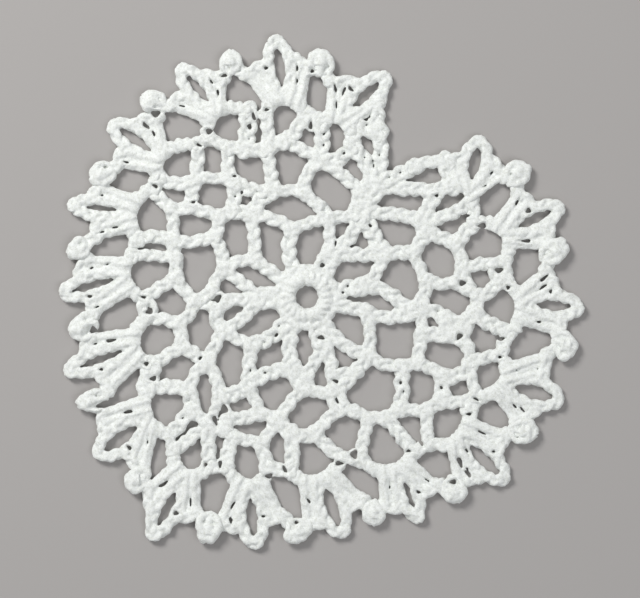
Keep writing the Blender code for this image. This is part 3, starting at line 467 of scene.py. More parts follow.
# %% Pinholes
# (x_mm, y_mm, length_mm, width_mm, bearing_deg of the length)
PINHOLES = (
    (-34.8, 93.0, 2.6, 1.4, 10), (-40.1, 90.4, 2.8, 0.8, -57), (-37.4, 85.8, 2.8, 1.0, -80),
    (-52.8, 80.3, 4.0, 0.7, -12), (-45.3, 63.8, 3.0, 1.0, -25), (-64.4, 68.6, 3.4, 1.0, -65),
    (-76.0, 56.7, 3.6, 0.8, -15), (-85.7, 42.8, 2.4, 0.8, 5), (-63.8, 46.6, 2.8, 1.3, -30),
    (-47.7, 39.9, 2.2, 1.0, 10), (-30.4, 50.8, 2.0, 1.0, 0), (-27.4, 43.9, 1.6, 1.2, 90),
    (-17.2, 96.2, 1.8, 1.4, 0), (-4.2, 96.3, 4.0, 0.9, -88), (-4.2, 90.7, 2.4, 0.9, 88),
    (2.2, 94.9, 1.6, 1.6, 0), (11.8, 87.8, 3.6, 1.0, -82), (18.4, 87.4, 3.0, 1.3, -45),
    (12.4, 80.8, 5.5, 0.7, 90), (24.8, 74.6, 2.0, 1.2, 10), (-17.0, 78.7, 1.8, 1.4, 0),
    (28.0, 54.9, 3.0, 0.6, 90), (74.8, 46.8, 3.0, 0.6, 30), (88.2, 39.8, 3.4, 1.0, 62),
    (54.4, 42.6, 1.6, 1.3, 0), (-80.2, 29.4, 4.4, 0.8, 10), (-86.0, 27.3, 3.2, 0.8, 15),
    (-70.3, 20.4, 4.4, 0.9, 0), (-90.2, 12.3, 2.5, 0.8, 25), (-84.3, 13.6, 3.6, 0.6, 20),
    (-91.2, 0.3, 2.2, 1.2, 0), (-88.0, -4.1, 3.0, 0.7, 20), (-68.7, 0.0, 2.6, 1.1, -10),
    (-88.3, -19.4, 3.8, 0.7, 18), (-86.4, -30.4, 1.8, 1.1, -10), (-67.5, -28.0, 2.0, 1.8, 0),
    (-44.8, -25.6, 2.0, 1.2, 45), (12.0, 22.5, 2.6, 0.8, 85), (84.4, 4.0, 1.6, 1.8, 0),
    (102.3, 2.4, 1.8, 1.3, 80), (97.4, -10.4, 2.2, 1.0, 0), (81.0, -25.2, 1.6, 1.2, 0),
    (-74.7, -63.2, 2.6, 1.4, -50), (-66.9, -60.5, 6.0, 0.6, 82), (-55.0, -90.7, 2.2, 1.8, 0),
    (-48.9, -86.5, 5.5, 0.7, 90), (-32.1, -93.7, 3.2, 1.2, -80), (-31.2, -87.5, 5.0, 0.9, 60),
    (-42.6, -70.3, 1.7, 1.5, 90), (-54.2, -59.2, 3.2, 1.2, 45), (12.0, -35.3, 2.8, 1.3, -25),
    (12.6, -43.5, 3.4, 1.0, -65), (42.6, -64.6, 2.0, 1.1, 0), (-18.5, -92.0, 2.0, 1.0, -15),
    (-4.5, -94.6, 1.6, 1.6, 0), (0.7, -85.6, 2.8, 0.9, -55), (34.8, -79.0, 4.6, 0.7, 88),
    (71.2, -43.0, 4.0, 0.8, -30), (68.0, -49.1, 2.2, 1.3, 0), (74.0, -57.2, 6.0, 0.7, -25),
    (78.3, -64.9, 1.8, 1.0, 0), (87.0, -45.5, 4.2, 0.8, -48), (67.3, -64.8, 3.6, 0.8, -55),
    (50.0, -76.6, 5.0, 0.6, -35), (46.8, -81.8, 2.2, 1.2, -25), (48.0, -61.4, 3.0, 1.3, -55),
)
gap_shapes = hourglasses(SMALL_GAPS + PINHOLES)
print("pinholes", len(PINHOLES))

# %% [markdown]
# ## A skin without flakes
# Soft cotton doesn't lie in clean tubes: its loose fibre grips the next yarn and hides the line
# between them. So the tubes only guide a skin that is grown over them all. Cutting a gap through that
# skin can leave a flake that hangs on nothing. A real yarn has no such crumb, so the faces of each part
# of the skin are counted, and a part far smaller than a bobble is left out.

# %% Leave out loose flakes
LEAST_PART = 400            # faces; a part of the skin with fewer is a loose flake


def without_flakes(skin):
    """The skin's triangles without the loose flakes that opening a gap can leave. Each point takes the
    lowest number among its own and its neighbours', and then that point's, until nothing changes: a
    part is the points that share a number."""
    skin.calc_loop_triangles()
    points, faces = np.empty(len(skin.vertices) * 3), np.empty(len(skin.loop_triangles) * 3, int)
    skin.vertices.foreach_get("co", points)
    skin.loop_triangles.foreach_get("vertices", faces)
    points, faces = points.reshape(-1, 3), faces.reshape(-1, 3)
    part, lowest = None, np.arange(len(points))
    while part is None or (part != lowest).any():
        part = lowest.copy()
        for corner in range(3):
            np.minimum.at(lowest, faces[:, corner], part[faces].min(axis=1))
        lowest = lowest[lowest]
    part_of_face = part[faces[:, 0]]
    kept = faces[np.bincount(part_of_face)[part_of_face] >= LEAST_PART]
    used, corners = np.unique(kept, return_inverse=True)
    clean = bpy.data.meshes.new("skin")
    clean.from_pydata(points[used].tolist(), [], corners.reshape(-1, 3).tolist())
    return clean, len(faces) - len(kept)


print("parts of fewer than", LEAST_PART, "faces are left out")

# %% [markdown]
# ## Growing the skin
# Voxels are the easy way to one skin over hundreds of crossing tubes, where joining them one by one
# could leave torn edges. The order matters: fuse the yarns, cut the small gaps, and fuse once more so
# that the cuts' sharp edges close and soften. Then the skin is eased, gets the tufts of loose fibre,
# and is thinned, because flat stretches need fewer triangles than a voxel grid gives them.

# %% Grow a skin over the yarns
FUSE = 0.34                 # grain of the skin that grows over neighbouring yarns
EASE_FACTOR = 0.5           # how far each round of easing moves a point to its neighbours' middle
FLUFF_GRAIN = 1.5           # size of the tufts that loose fibre makes on that skin
FLUFF = 0.07                # height from the deepest dip between them to the highest tuft
KEEP = 0.24                 # share of the skin's triangles that are kept
fluff = bpy.data.textures.new("tufts", "CLOUDS")
fluff.noise_scale = FLUFF_GRAIN * MM
fluff.noise_depth = 1


def grow_skin(piece, name):
    """Adds a voxel remesh, which grows one closed skin over all that touches."""
    skin = piece.modifiers.new(name, "REMESH")
    skin.mode = "VOXEL"
    skin.voxel_size = FUSE * MM


def grow_together(piece, ease_rounds):
    """The same piece with its yarns fused where they touch, small gaps opened, and the skin grown
    again over their sharp edges, eased, fluffed and thinned."""
    grow_skin(piece, "fuse")
    opened = piece.modifiers.new("small_gaps", "BOOLEAN")
    opened.operation = "DIFFERENCE"
    opened.solver = "MANIFOLD"
    opened.object = gap_shapes
    grow_skin(piece, "settle")
    ease = piece.modifiers.new("ease", "SMOOTH")
    ease.factor = EASE_FACTOR
    ease.iterations = ease_rounds
    tufts = piece.modifiers.new("tufts", "DISPLACE")
    tufts.texture = fluff
    tufts.texture_coords = "LOCAL"
    tufts.strength = FLUFF * MM
    thin = piece.modifiers.new("thin", "DECIMATE")
    thin.ratio = KEEP
    bpy.context.view_layer.update()
    material = piece.data.materials[0]
    skin = bpy.data.meshes.new_from_object(piece.evaluated_get(bpy.context.evaluated_depsgraph_get()))
    piece.modifiers.clear()
    piece.data, dropped = without_flakes(skin)
    piece.data.name = piece.name
    piece.data.shade_smooth()
    piece.data.calc_loop_triangles()
    piece.data.materials.append(material)
    bpy.data.meshes.remove(skin)
    print(piece.name, "loose faces left out", dropped)


# %% [markdown]
# ## A piece from its yarns
# The yarns of one round are joined in one mesh, written straight from the arrays. The table presses
# the lace flat below: points under it are lifted to it. The chart's own origin is moved to the packed
# solid's place here, once, for every piece.

# %% Build a piece
LACE_SQUASH = 0.9           # the lace's relief over that of loose yarns, pressed by its own weight
LEAST_HEIGHT = 0.03         # what lies on the table is this far above it


def press(points):
    """The same points squashed by LACE_SQUASH and moved to the frame's place, none lower than
    LEAST_HEIGHT, in metres."""
    placed = points * [1, 1, LACE_SQUASH] + [*RING_PLACE, LACE_HEIGHT]
    placed[:, 2] = np.maximum(placed[:, 2], LEAST_HEIGHT)
    return placed * MM


def yarn_piece(name, yarns, material, ease_rounds=1):
    """A mesh of all the given yarns, each (points, closed) from sweep, grown together. It stands in
    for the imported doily."""
    points, quads, ends, first = [], [], [], 0
    for grid, closed in yarns:
        rings = len(grid)
        four, three = tube_faces(rings, closed, first)
        extra = np.empty((0, 3)) if closed else np.stack([grid[0].mean(axis=0), grid[-1].mean(axis=0)])
        points += [grid.reshape(-1, 3), extra]
        first += rings * YARN_SIDES + len(extra)
        quads.append(four)
        ends.append(three)
    points, quads, ends = press(np.concatenate(points)), np.concatenate(quads), np.concatenate(ends)
    mesh = bpy.data.meshes.new(name)
    mesh.vertices.add(len(points))
    mesh.vertices.foreach_set("co", points.ravel())
    mesh.loops.add(quads.size + ends.size)
    mesh.loops.foreach_set("vertex_index", np.concatenate([quads.ravel(), ends.ravel()]))
    mesh.polygons.add(len(quads) + len(ends))
    starts = np.concatenate([np.arange(len(quads)) * 4, quads.size + np.arange(len(ends)) * 3])
    mesh.polygons.foreach_set("loop_start", starts)
    mesh.update(calc_edges=True)
    mesh.validate()
    mesh.materials.append(material)
    piece = bpy.data.objects.new(name, mesh)
    bpy.context.scene.collection.objects.link(piece)
    grow_together(piece, ease_rounds)
    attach(piece, "root")
    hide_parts("doily")
    print(name, "yarns", len(yarns), "triangles", len(piece.data.loop_triangles))
    return piece


# %% [markdown]
# ## Along a path
# A yarn that winds keeps even steps along its way, whatever the path's own points are, or its rings
# of points would bunch up. So a path is measured first, and then cut into steps of one length, with
# the way to its left at each: what winds goes to that side and up from there.

# %% Steps along a path
YARN_STEP = 0.75            # distance between rings of points along a yarn
LEAST_STEPS = 6             # steps along the shortest
UP = np.array([0.0, 0.0, 1.0])


def along_path(path, closed=False, step=YARN_STEP):
    """The path, in points step apart, with its length so far and its left-hand sides."""
    if closed:
        path = np.concatenate([path, path[:1]])
    so_far = np.concatenate([[0.0], np.cumsum(np.linalg.norm(np.diff(path, axis=0), axis=1))])
    count = max(LEAST_STEPS, math.ceil(so_far[-1] / step))
    length = np.linspace(0, so_far[-1], count + 1)[: count if closed else None]
    flat = np.stack([np.interp(length, so_far, path[:, i]) for i in (0, 1)], axis=-1)
    if closed:
        ahead = np.roll(flat, -1, axis=0) - np.roll(flat, 1, axis=0)
    else:
        ahead = np.gradient(flat, axis=0)
    return flat, length, so_far[-1], across(ahead)


def lifted(flat, left, sideways, height):
    """Points at flat + sideways * left, at the given heights."""
    return np.column_stack([flat + sideways[:, None] * left, height])


print("rings of points", YARN_STEP, "mm apart")

# %% [markdown]
# ## A chain
# A crocheted chain is a yarn pulled through itself again and again; from above it shows as a plait of
# three, so that is what a chain is here. Each strand adds a pair of waves to the path, one to the side
# and one up and down that is twice as fast, so that it passes over one neighbour and under the other.

# %% Plait
CHAIN_STITCH = 5.6          # bulges on one side of a chain are this far apart
CHAIN_UNEVEN = 0.14         # a hand-worked chain's stitches differ by about this share
CHAIN_EASE = 1.4            # the yarn fluffs out this much past a chart line's width
CHAIN_RISE = 0.85           # how far a strand of a chain rises and falls
CHAIN_SLIP = 0.35           # how far, in radians, its waves run ahead or behind
WIDE = 7.6                  # a chart line as wide as this is worked with five strands


def plait(path, width, start=0.0, closed=False):
    """Strands k of n at turn t = tau s / wave + tau k / n: a sin t to the side, and b sin 2t up."""
    strands = 3 if width < WIDE else 5
    flat, length, total, left = along_path(path, closed)
    wave = strands * CHAIN_STITCH * (1 + CHAIN_UNEVEN * chance.uniform(-1, 1))
    if closed:
        wave = total / max(1, round(total / wave))
    reach = (width + CHAIN_EASE - YARN) / 2
    slip = CHAIN_SLIP * wander(length, total, closed)
    yarns = []
    for strand in range(strands):
        turn = math.tau * (length / wave + strand / strands) + start + slip
        curve = lifted(flat, left, reach * np.sin(turn), CHAIN_RISE * np.sin(2 * turn))
        yarns.append(sweep(curve, UP, closed=closed))
    return yarns


print("a chain's stitch", CHAIN_STITCH, "mm long")

# %% [markdown]
# ## Wraps and knots
# Where stitches are worked over an arch, or into the ring, the yarn wraps it like a coil. A knot is a
# yarn that goes over and under itself on the spot. These too are waves round a path or a place. A true
# knot would need many more turns, and most of them would be out of sight.

# %% Wrap and tangle
WRAP_STEPS = 14             # steps in one turn of a wrap
TREFOIL = (0.62, 0.38)      # a knot's reach and how far that comes and goes, over its outer reach
TREFOIL_RISE = 0.75         # how far a knot's yarn rises and falls
TREFOIL_STEPS = 44          # points along it


def wrap(path, width, height, pitch, closed=False, lift=0.0):
    """A coil round the path: a cos t to the side and b sin t up, t = tau s / pitch."""
    flat, length, total, left = along_path(path, closed, step=pitch / WRAP_STEPS)
    if closed:
        pitch = total / round(total / pitch)
    turn = math.tau * length / pitch
    curve = lifted(flat, left, (width - YARN) / 2 * np.cos(turn),
                   lift + (height - YARN) / 2 * np.sin(turn))
    ahead = np.column_stack([left[:, 1], -left[:, 0], np.zeros(len(left))])
    return [sweep(curve, ahead, closed=closed)]


def tangle(place, width, spin, lift=0.0):
    """A flat trefoil: (c + d cos 3u) round by 2u, and up by b sin 3u, for u once round."""
    turn = np.linspace(0, math.tau, TREFOIL_STEPS, endpoint=False)
    reach = (width / 2 - YARN / 2) * (TREFOIL[0] + TREFOIL[1] * np.cos(3 * turn))
    curve = np.column_stack([place[0] + reach * np.cos(2 * turn + spin),
                             place[1] + reach * np.sin(2 * turn + spin),
                             lift + TREFOIL_RISE * np.sin(3 * turn)])
    return [sweep(curve, UP, closed=True)]


print("points in a turn of a wrap", WRAP_STEPS, "and in a knot", TREFOIL_STEPS)

# %% [markdown]
# ## Colours and nodes
# A renderer counts in linear light, and a colour given here is an sRGB one, so one function turns
# the second into the first. Another adds a node with its settings and links, which keeps a material
# readable as a list of what it is made of.

# %% Colours and nodes
def linear(hex_colour):
    """An sRGB hex colour as linear red, green, blue, alpha: c / 12.92 where c is dark, and else
    (c + 0.055) / 1.055 to the power of 2.4."""
    parts = [int(hex_colour[i:i + 2], 16) / 255 for i in (1, 3, 5)]
    return (*[c / 12.92 if c <= 0.04045 else ((c + 0.055) / 1.055) ** 2.4 for c in parts], 1.0)


def add_node(material, kind, settings=(), links=()):
    """Adds a node, sets its properties and sockets by name, and links its inputs from others."""
    node = material.node_tree.nodes.new(kind)
    for name, value in dict(settings).items():
        if name in node.inputs.keys():
            node.inputs[name].default_value = value
        else:
            setattr(node, name, value)
    for name, source in dict(links).items():
        material.node_tree.links.new(source, node.inputs[name])
    return node


print("half of full sRGB white is", round(linear("#808080")[0], 3), "in linear light")

# %% [markdown]
# ## Cotton
# Mercerised cotton shines; this one is soft and matt, so nearly all of its look is diffuse light in
# and out of loose fibres. That is a high roughness, a little sheen at grazing angles, and short
# scattering under the surface, which keeps the grooves between plies from going dark. Cellulose has
# an index of refraction near 1.55.

# %% Cotton
CLUMPS = 1.1                # in a millimetre: loose fibre lies over the yarn in clumps near 0.9 mm
FIBRES = 3.3                # in a millimetre: a real one is ten times finer and wouldn't show from here
FIBRE_RELIEF = 0.3          # how far the fibre stands out
SCATTER = 0.6               # how far light spreads under the surface


def soft_cotton():
    """Matt white cotton yarn, spun soft and then handled, so loose fibre stands off it in clumps. Its
    colour is darker in the low spots between the clumps, which is partly uneven tone and partly painted
    shade.
    """
    material = bpy.data.materials.new("soft_matt_cotton_yarn")
    material.use_nodes = True
    tree = material.node_tree
    shader = tree.nodes["Principled BSDF"]
    place = add_node(material, "ShaderNodeTexCoord")
    clumps, fibres = (
        add_node(material, "ShaderNodeTexNoise",
                 {"Scale": count / MM, "Detail": 2.0, "Distortion": distortion},
                 {"Vector": place.outputs["Object"]})
        for count, distortion in ((CLUMPS, 0.8), (FIBRES, 1.5)))
    # A mix node has the same socket names for numbers and colours: 2 and 3 are those for numbers.
    both = add_node(material, "ShaderNodeMix", {"data_type": "FLOAT", "Factor": 0.4})
    tree.links.new(clumps.outputs["Fac"], both.inputs[2])
    tree.links.new(fibres.outputs["Fac"], both.inputs[3])
    bump = add_node(material, "ShaderNodeBump", {"Strength": 1.0, "Distance": FIBRE_RELIEF * MM},
                    {"Height": both.outputs[0]})
    # The low spots between the clumps are a darker, slightly greener white: partly the fibre's own
    # uneven tone, and partly painted shade in the hollows between the clumps.
    white = add_node(material, "ShaderNodeValToRGB", {}, {"Fac": both.outputs[0]})
    for end, position, shade in zip(white.color_ramp.elements, (0.36, 0.56), ("#d8dbd4", "#f2f5f3")):
        end.position, end.color = position, linear(shade)
    tree.links.new(white.outputs["Color"], shader.inputs["Base Color"])
    tree.links.new(bump.outputs["Normal"], shader.inputs["Normal"])
    for name, value in {"Roughness": 0.92, "IOR": 1.55, "Specular IOR Level": 0.3,
                        "Subsurface Weight": 0.08, "Subsurface Radius": (1.0, 1.0, 1.0),
                        "Subsurface Scale": SCATTER * MM, "Sheen Weight": 0.25,
                        "Sheen Roughness": 0.6}.items():
        shader.inputs[name].default_value = value
    return material


cotton = soft_cotton()
print("material", cotton.name)

# %% [markdown]
# ## The ring and the chains
# The ring is a round of stitches worked over a loop of chain, so it is wrapped yarn, with a chain
# inside the roll and one round it. What leaves it up to the first knots is chain too, and so is nearly
# everything from there on, wider where two chains lie side by side.

# %% Ring and chains
ROLL_RADIUS = 8.0           # middle line of the roll of stitches round the hole
ROLL_WIDTH = 7.0            # width of that roll
ROLL_HEIGHT = 6.2           # and its height
ROLL_PITCH = 2.4            # between two stitches of it
ROLL_LIFT = 0.5             # its middle above the lace's
ROLL_CHAIN = 4.0            # width of the chain inside it
RIM_RADIUS = 12.1           # middle line of the chain round it
RIM_CHAIN = 3.0             # width of that chain
round_ring = np.arange(0, 360, 3.0)     # bearings of the points round it, in degrees
ring_yarns = wrap(on_ring(round_ring, ROLL_RADIUS), ROLL_WIDTH, ROLL_HEIGHT, ROLL_PITCH, closed=True,
                  lift=ROLL_LIFT)
ring_yarns += plait(on_ring(round_ring, ROLL_RADIUS), ROLL_CHAIN, closed=True)
ring_yarns += plait(on_ring(round_ring, RIM_RADIUS), RIM_CHAIN, closed=True)
for row, (bearing, end, width, bow) in enumerate(FROM_RING):
    ring_yarns += plait(bowed(on_ring(bearing), KNOTS[end], bow), width, row * GOLDEN)


def chains(table):
    """The plaits of one table of the chart."""
    yarns = []
    for row, (start, end, width, bow) in enumerate(table):
        yarns += plait(bowed(KNOTS[start], KNOTS[end], bow), width, row * GOLDEN)
    return yarns


print("yarns in the ring and what leaves it", len(ring_yarns))

# %% [markdown]
# ## Knots
# Where chains meet, the next stitch goes through and round them all, and pulls them into a small
# lump. A flat trefoil of the same yarn has the right look: it goes over and under itself three times.
# Each is a little wider than the widest line that ends there.

# %% Knots
KNOT_SPREAD = 1.38          # a knot's width over the widest line that ends there, up to WIDE
LEAST_KNOT = 6.4            # and its least width
KNOT_LIFT = 0.25            # its middle above the lace's
widest = dict.fromkeys(KNOTS, 0.0)
for start, end, width, _ in FROM_RING + FIRST_CHAINS + SECOND_CHAINS + THIRD_CHAINS + FOURTH_CHAINS:
    for name in (start, end):
        if name in widest:      # what leaves the ring has a bearing for its start
            widest[name] = max(widest[name], min(width, WIDE))


def knots(table):
    """The tangles at one round's knots."""
    yarns = []
    for row, name in enumerate(table):
        width = max(LEAST_KNOT, KNOT_SPREAD * widest[name])
        yarns += tangle(KNOTS[name], width, row * GOLDEN, lift=KNOT_LIFT)
    return yarns


middle = yarn_piece("ring_and_first_round", ring_yarns + chains(FIRST_CHAINS)
                    + knots(FIRST_ROUND), cotton)
rounds = yarn_piece("second_and_third_round", chains(SECOND_CHAINS) + chains(THIRD_CHAINS)
                    + knots(SECOND_ROUND) + knots(THIRD_ROUND), cotton)
fourth = yarn_piece("fourth_round", chains(FOURTH_CHAINS) + knots(FOURTH_ROUND), cotton)

# %% [markdown]
# ## Posts
# A fan's posts are tall stitches that grip the arch under it and lean out to either side. They could be
# plaits too, but plain strands side by side show the long grooves that make it read as a fan. Each
# rises where it grips the arch and lies down along the rest of its way.

# %% Posts
POST_YARN = 1.25            # radius of one strand of a post, drawn a little tighter than a loose yarn
FOOT_BEFORE = 3.2           # the foot grips the arch from this far before its middle line
FOOT_RISE = 1.5             # how much higher it lies on the arch than at its other end
POST_FALL = 0.6             # it comes down over this share of its length
POST_STEP = 0.4             # neighbouring strands lie this much higher and lower


def post(foot, end, number):
    """A strand from before the foot to the end, its height falling as cos^2 from FOOT_RISE both ways,
    plus or minus POST_STEP."""
    ahead = (end - foot) / np.linalg.norm(end - foot)
    flat, length, total, left = along_path(bowed(foot - FOOT_BEFORE * ahead, end, 0.0))
    before = (FOOT_BEFORE - length) / (FOOT_BEFORE + POST_YARN)
    after = (length - FOOT_BEFORE) / (POST_FALL * total)
    fall = np.cos(math.pi / 2 * np.clip(np.maximum(before, after), 0, 1)) ** 2
    step = POST_STEP * (1 if number % 2 else -1)
    return sweep(lifted(flat, left, 0 * length, step + FOOT_RISE * fall), UP, POST_YARN)


print("a post's strand", 2 * POST_YARN, "mm across")

# %% [markdown]
# ## Fans
# Each fan stands on an arch of chain that is wrapped by the feet of its stitches. Its posts lean out
# to either side, a loop of chain stands between them, and the edge chain runs from the posts' ends up
# to the loop's shoulders. The seventeen differ only in the chart's places, so one loop works them all.

# %% Fans
POST_SPACING = 2.4          # between the feet of neighbouring strands on the arch
LEAST_POSTS = 4             # strands on a side of a fan, at least
LAST_FOOT = 0.14            # where the innermost strand stands, as a share of the way to the outermost
LAST_REACH = 0.8            # where it ends, as a share of the edge chain up to the loop's shoulder
REACH_POWER = 1.5           # the strands between end closer to the outermost's end as this grows
CUP_BOW = 1.8               # how far each half of the arch of chain under a fan swings out
ARCH_CHAIN = 4.0            # width of that chain
ARCH_ROUND = 8.0            # length over which the arch turns at the fan's base
ARCH_WIDTH = 6.6            # width of the stitches' feet wrapped round it
ARCH_HEIGHT = 5.0           # and their height
ARCH_PITCH = 3.3            # between two wraps
EDGE_BOW = 1.0              # how far the edge chain swings out
EDGE_WIDTH = 4.4            # and its width
FAR_SHOULDER_AT = 0.58      # how far up the loop the edge chain meets it, on the far side
NEAR_SHOULDER_AT = 0.76     # and on the near side
END_KNOT = 6.0              # lump at a fan's outer ends, where the edge chain turns
fan_yarns, arch_yarns = [], []
for row, fan in enumerate(FANS.values()):
    base, root, tip, far, near = (np.array(fan[column]) for column in (0, 1, 2, 4, 5))
    slot, far_cup, near_cup, far_foot, near_foot = (fan[column] for column in (3, 6, 7, 8, 9))
    fan_yarns += plait(lens(root, tip, slot), LOOP_CHAIN, row * GOLDEN, closed=True)
    side = across(tip - root) * (slot + LOOP_CHAIN) / 2
    far_arm, near_arm = bowed(KNOTS[far_cup], base, CUP_BOW), bowed(base, KNOTS[near_cup], CUP_BOW)
    arch = rounded(np.concatenate([far_arm, near_arm[1:]]), ARCH_ROUND)
    far_arm, near_arm = arch[:len(far_arm)], arch[len(far_arm) - 1:][::-1]
    arch_yarns += plait(arch, ARCH_CHAIN, row * GOLDEN) + wrap(arch, ARCH_WIDTH, ARCH_HEIGHT, ARCH_PITCH)
    for end, cup, arm, stand, up_loop, hand in (
            (far, far_cup, far_arm, far_foot, FAR_SHOULDER_AT, 1),
            (near, near_cup, near_arm, near_foot, NEAR_SHOULDER_AT, -1)):
        start = row * GOLDEN + hand
        last_foot = stand / np.linalg.norm(KNOTS[cup] - base)
        shoulder = root + up_loop * (tip - root) + hand * side
        count = max(LEAST_POSTS, 1 + round(stand / POST_SPACING))
        for number, out in enumerate(np.linspace(1, LAST_FOOT, count)):
            foot = arm[round((1 - out * last_foot) * (len(arm) - 1))]
            reach = LAST_REACH * (1 - out) ** REACH_POWER
            fan_yarns.append(post(foot, end + reach * (shoulder - end), number))
        fan_yarns += plait(bowed(end, shoulder, EDGE_BOW * hand), EDGE_WIDTH, start)
        fan_yarns += tangle(end, END_KNOT, start)
print("yarns in the fans", len(fan_yarns), "and in their arches", len(arch_yarns))

# %% [markdown]
# ## Bobbles
# A bobble is a few stitches begun in one place and closed in one, so they puff out together. A ball
# would be the easy way and looks like a bead. Here it is thick strands side by side, and one across
# that ties them down, over a short fat one that keeps the middle from being hollow. No two bobbles
# come out alike under a hook, so each leans, spreads and swells by chance.

# %% Bobbles
BOBBLE_YARN = 2.1           # radius of a strand at its outer end: several yarns drawn up together
BOBBLE_TAPER = 0.45         # how much thinner, as a share, it is at its inner end
BOBBLE_INSET = 0.9          # how far inside the bobble's edge its middle line ends, over that radius
BOBBLE_ROOT = 1.5           # its way before the bobble's middle, over its way past it
BOBBLE_ROUND = 0.7          # how round the strands spread: 1 is a parabola
BOBBLE_LIFT = 0.5           # height of a strand's ends above the lace's middle
BOBBLE_RISE = 1.0           # and how much higher its own middle stands
BOBBLE_UNEVEN = 0.15        # how much bobbles and their strands differ, as a share
BOBBLE_LEAN = 0.35          # how far a bobble may lean to either side, over the way out
STRAND_POINTS = 30          # points along a strand
STRAND_SPREAD = 0.2         # how far a strand may lie from its place across, over the breadth
STRAND_SWAY = 0.8           # how far it may sway on its way
STRAND_HIGHER = 0.6         # how much higher or lower its middle may stand
STRAND_LONGER = 0.6         # how much longer it may be, over how much shorter
CROSS_YARN = 1.4            # radius of the strand that ties the others down
CROSS_BREADTH = 0.8         # how far it goes across, over the breadth
CROSS_HEIGHTS = (0.8, 1.4)  # height of its ends, and how much higher its middle is
CROSS_OUT = (0.1, 0.4)      # how far out it crosses, over the strands' own reach: least and most
CROSS_SLANT = 0.3           # and how much further out one of its ends may lie than its middle
CORE_YARN = 2.6             # radius of the short one inside
CORE_REACH = 0.45           # how far in and out from the bobble's middle it goes, over that reach
CORE_RISE = 1.3             # how high it lies


def puff(place, out, radius):
    """Three strands from the root to the outer end, thickening on the way: to the side by
    k (1 - t^2)^BOBBLE_ROUND for k near -1, 0 and 1 plus a little sin(pi t), and up by the rise times
    1 - t^2, for t from -1 to 1. A fourth runs across them, over the outer half, and a short thick one
    fills the inside."""
    share = np.linspace(-1, 1, STRAND_POINTS)
    hump = 1 - share ** 2
    out = out / np.linalg.norm(out)
    lean = chance.uniform(-BOBBLE_LEAN, BOBBLE_LEAN)
    out = np.array([out[0] - lean * out[1], out[1] + lean * out[0]]) / math.hypot(1, lean)
    uneven = 1 + BOBBLE_UNEVEN * chance.uniform(-1, 1, 2)
    length, breadth = (radius - BOBBLE_INSET * BOBBLE_YARN) * uneven
    along = length * ((1 + BOBBLE_ROOT) * (share + 1) / 2 - BOBBLE_ROOT)
    girth = BOBBLE_YARN * (1 - BOBBLE_TAPER * (1 - share) / 2)

    def strand_at(ahead, aside, height, thickness):
        """A strand at these ways ahead of the bobble's middle, to its left and up."""
        return sweep(lifted(place + ahead[:, None] * out, across(out), aside, height), UP, thickness)

    yarns = []
    for strand in np.linspace(-1, 1, 3) + STRAND_SPREAD * chance.uniform(-1, 1, 3):
        ahead = along * (1 + BOBBLE_UNEVEN * chance.uniform(-1, STRAND_LONGER))
        sway = STRAND_SWAY * chance.uniform(-1, 1) * np.sin(math.pi * share)
        rise = BOBBLE_RISE + STRAND_HIGHER * chance.uniform(-1, 1)
        thickness = girth * (1 + BOBBLE_UNEVEN * chance.uniform(-1, 1))
        yarns.append(strand_at(ahead, breadth * strand * hump ** BOBBLE_ROUND + sway,
                               BOBBLE_LIFT + rise * hump, thickness))
    across_at = chance.uniform(*CROSS_OUT) + chance.uniform(-CROSS_SLANT, CROSS_SLANT) * share
    yarns.append(strand_at(length * across_at, CROSS_BREADTH * breadth * share,
                           CROSS_HEIGHTS[0] + CROSS_HEIGHTS[1] * hump, CROSS_YARN))
    yarns.append(strand_at(CORE_REACH * length * share, 0 * share, CORE_RISE + 0 * share, CORE_YARN))
    return yarns


print("a bobble's strand", 2 * BOBBLE_YARN, "mm across")

# %% [markdown]
# ## The edge as pieces
# A chain runs from each fan's outer end to the bobble beside it, so a bobble hangs between two fans.
# Those chains belong to the fans' piece. The bobbles are eased for longer than the rest, because
# stitches that puff out are smoother than a chain.

# %% Fans and bobbles as pieces
ARM_WIDTH = 5.4             # width of the chain between a fan and a bobble
ARM_PAST = 0.1              # how far past the bobble's middle it goes, over the bobble's way out
bobble_yarns = []
for row, (x, y, radius, before, after) in enumerate(BOBBLES.values()):
    place, first, last = np.array((x, y)), np.array(FANS[before][4]), np.array(FANS[after][5])
    out = place - (first + last) / 2
    for end in (first, last):
        fan_yarns += plait(bowed(end, place + ARM_PAST * out, 0.0), ARM_WIDTH, row * GOLDEN)
    bobble_yarns += puff(place, out, radius)
fans_piece = yarn_piece("fans", fan_yarns + arch_yarns, cotton)
bobbles_piece = yarn_piece("bobbles", bobble_yarns, cotton, ease_rounds=3)
bpy.data.objects.remove(gap_shapes)

# %% [markdown]
# ## A sheet of cloth
# All of this is one flat cloth.

# %% [markdown]
# ## Table
# The doily is white, so the table under it is a plain pale grey, dark enough for the lace to stand
# out. It is a matt laminate, pressed against a fine-grained plate, so it mirrors nothing and only
# takes the lace's shadow.

# %% Table
TABLE_REACH = 3.0           # metres to each side, so that its edge stays out of every view


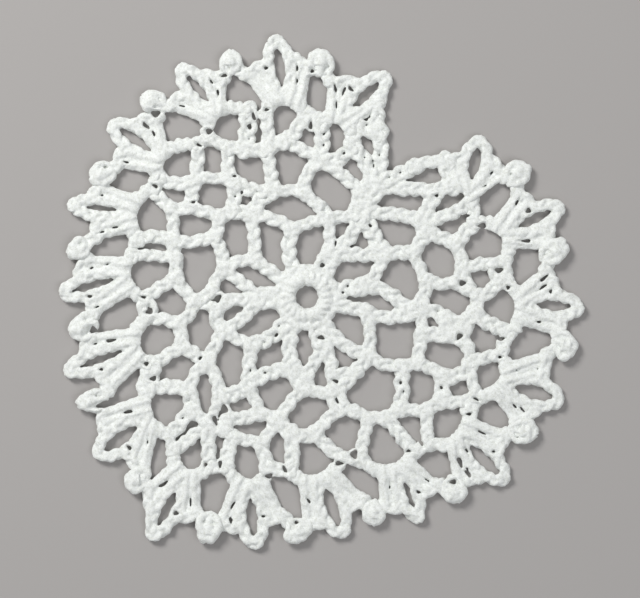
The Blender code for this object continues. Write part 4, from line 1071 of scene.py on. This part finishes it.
def table_top():
    """A wide flat plane, just at the height the lace rests on."""
    mesh = bpy.data.meshes.new("table_top")
    corners = [(x * TABLE_REACH, y * TABLE_REACH, 0.0) for x, y in ((-1, -1), (1, -1), (1, 1), (-1, 1))]
    mesh.from_pydata(corners, [], [(0, 1, 2, 3)])
    material = bpy.data.materials.new("matt_pale_laminate")
    material.use_nodes = True
    shader = material.node_tree.nodes["Principled BSDF"]
    shader.inputs["Base Color"].default_value = linear("#a8a5a3")
    shader.inputs["Roughness"].default_value = 0.8
    mesh.materials.append(material)
    table = bpy.data.objects.new("table_top", mesh)
    bpy.context.scene.collection.objects.link(table)


table_top()
print("table", 2 * TABLE_REACH, "m across")

# %% [markdown]
# ## Light
# One soft light from the upper left shows the relief. A wider, weaker one from the other side and a
# pale surrounding keep its shadows open. Area lights give the soft edges that a single point of light
# can't.

# %% Light
def area_light(name, place, size, watts, colour):
    """A square soft light, its place and size in metres, turned to the doily's middle."""
    data = bpy.data.lights.new(name, "AREA")
    data.size, data.energy, data.color = size, watts, linear(colour)[:3]
    light = bpy.data.objects.new(name, data)
    light.location = place
    light.rotation_euler = (-Vector(place)).to_track_quat("-Z", "Y").to_euler()
    bpy.context.scene.collection.objects.link(light)


area_light("key", place=(-0.75, 0.85, 1.05), size=0.5, watts=18.2, colour="#fffefc")
area_light("fill", place=(0.7, -0.5, 1.3), size=1.0, watts=6.0, colour="#fbfcff")
surround = bpy.data.worlds.new("pale_room")
surround.use_nodes = True
background = surround.node_tree.nodes["Background"]
background.inputs["Color"].default_value = linear("#f2f3f5")
background.inputs["Strength"].default_value = 0.36
bpy.context.scene.world = surround

# %% [markdown]
# ## Camera
# The photograph was taken from straight above, so the camera looks straight down. Its lens is worked
# out from how much of the table the frame takes in at the lace's height.

# %% Camera
VIEW_WIDTH = 0.2688         # what the photograph's frame takes in, across, in metres
VIEW_MIDDLE = (-0.0004, -0.0030)    # its middle, from the doily's
CAMERA_HEIGHT = 1.0         # above the table
optics = bpy.data.cameras.new("camera")
optics.sensor_width = 36.0  # in millimetres, as the lens is
optics.lens = optics.sensor_width * (CAMERA_HEIGHT - LACE_HEIGHT * MM) / VIEW_WIDTH
camera = bpy.data.objects.new("camera", optics)
camera.location = (*VIEW_MIDDLE, CAMERA_HEIGHT)
bpy.context.scene.collection.objects.link(camera)
bpy.context.scene.camera = camera
bpy.context.scene.view_settings.view_transform = "Standard"     # keeps white cotton white
print("lens", round(optics.lens, 1), "mm")
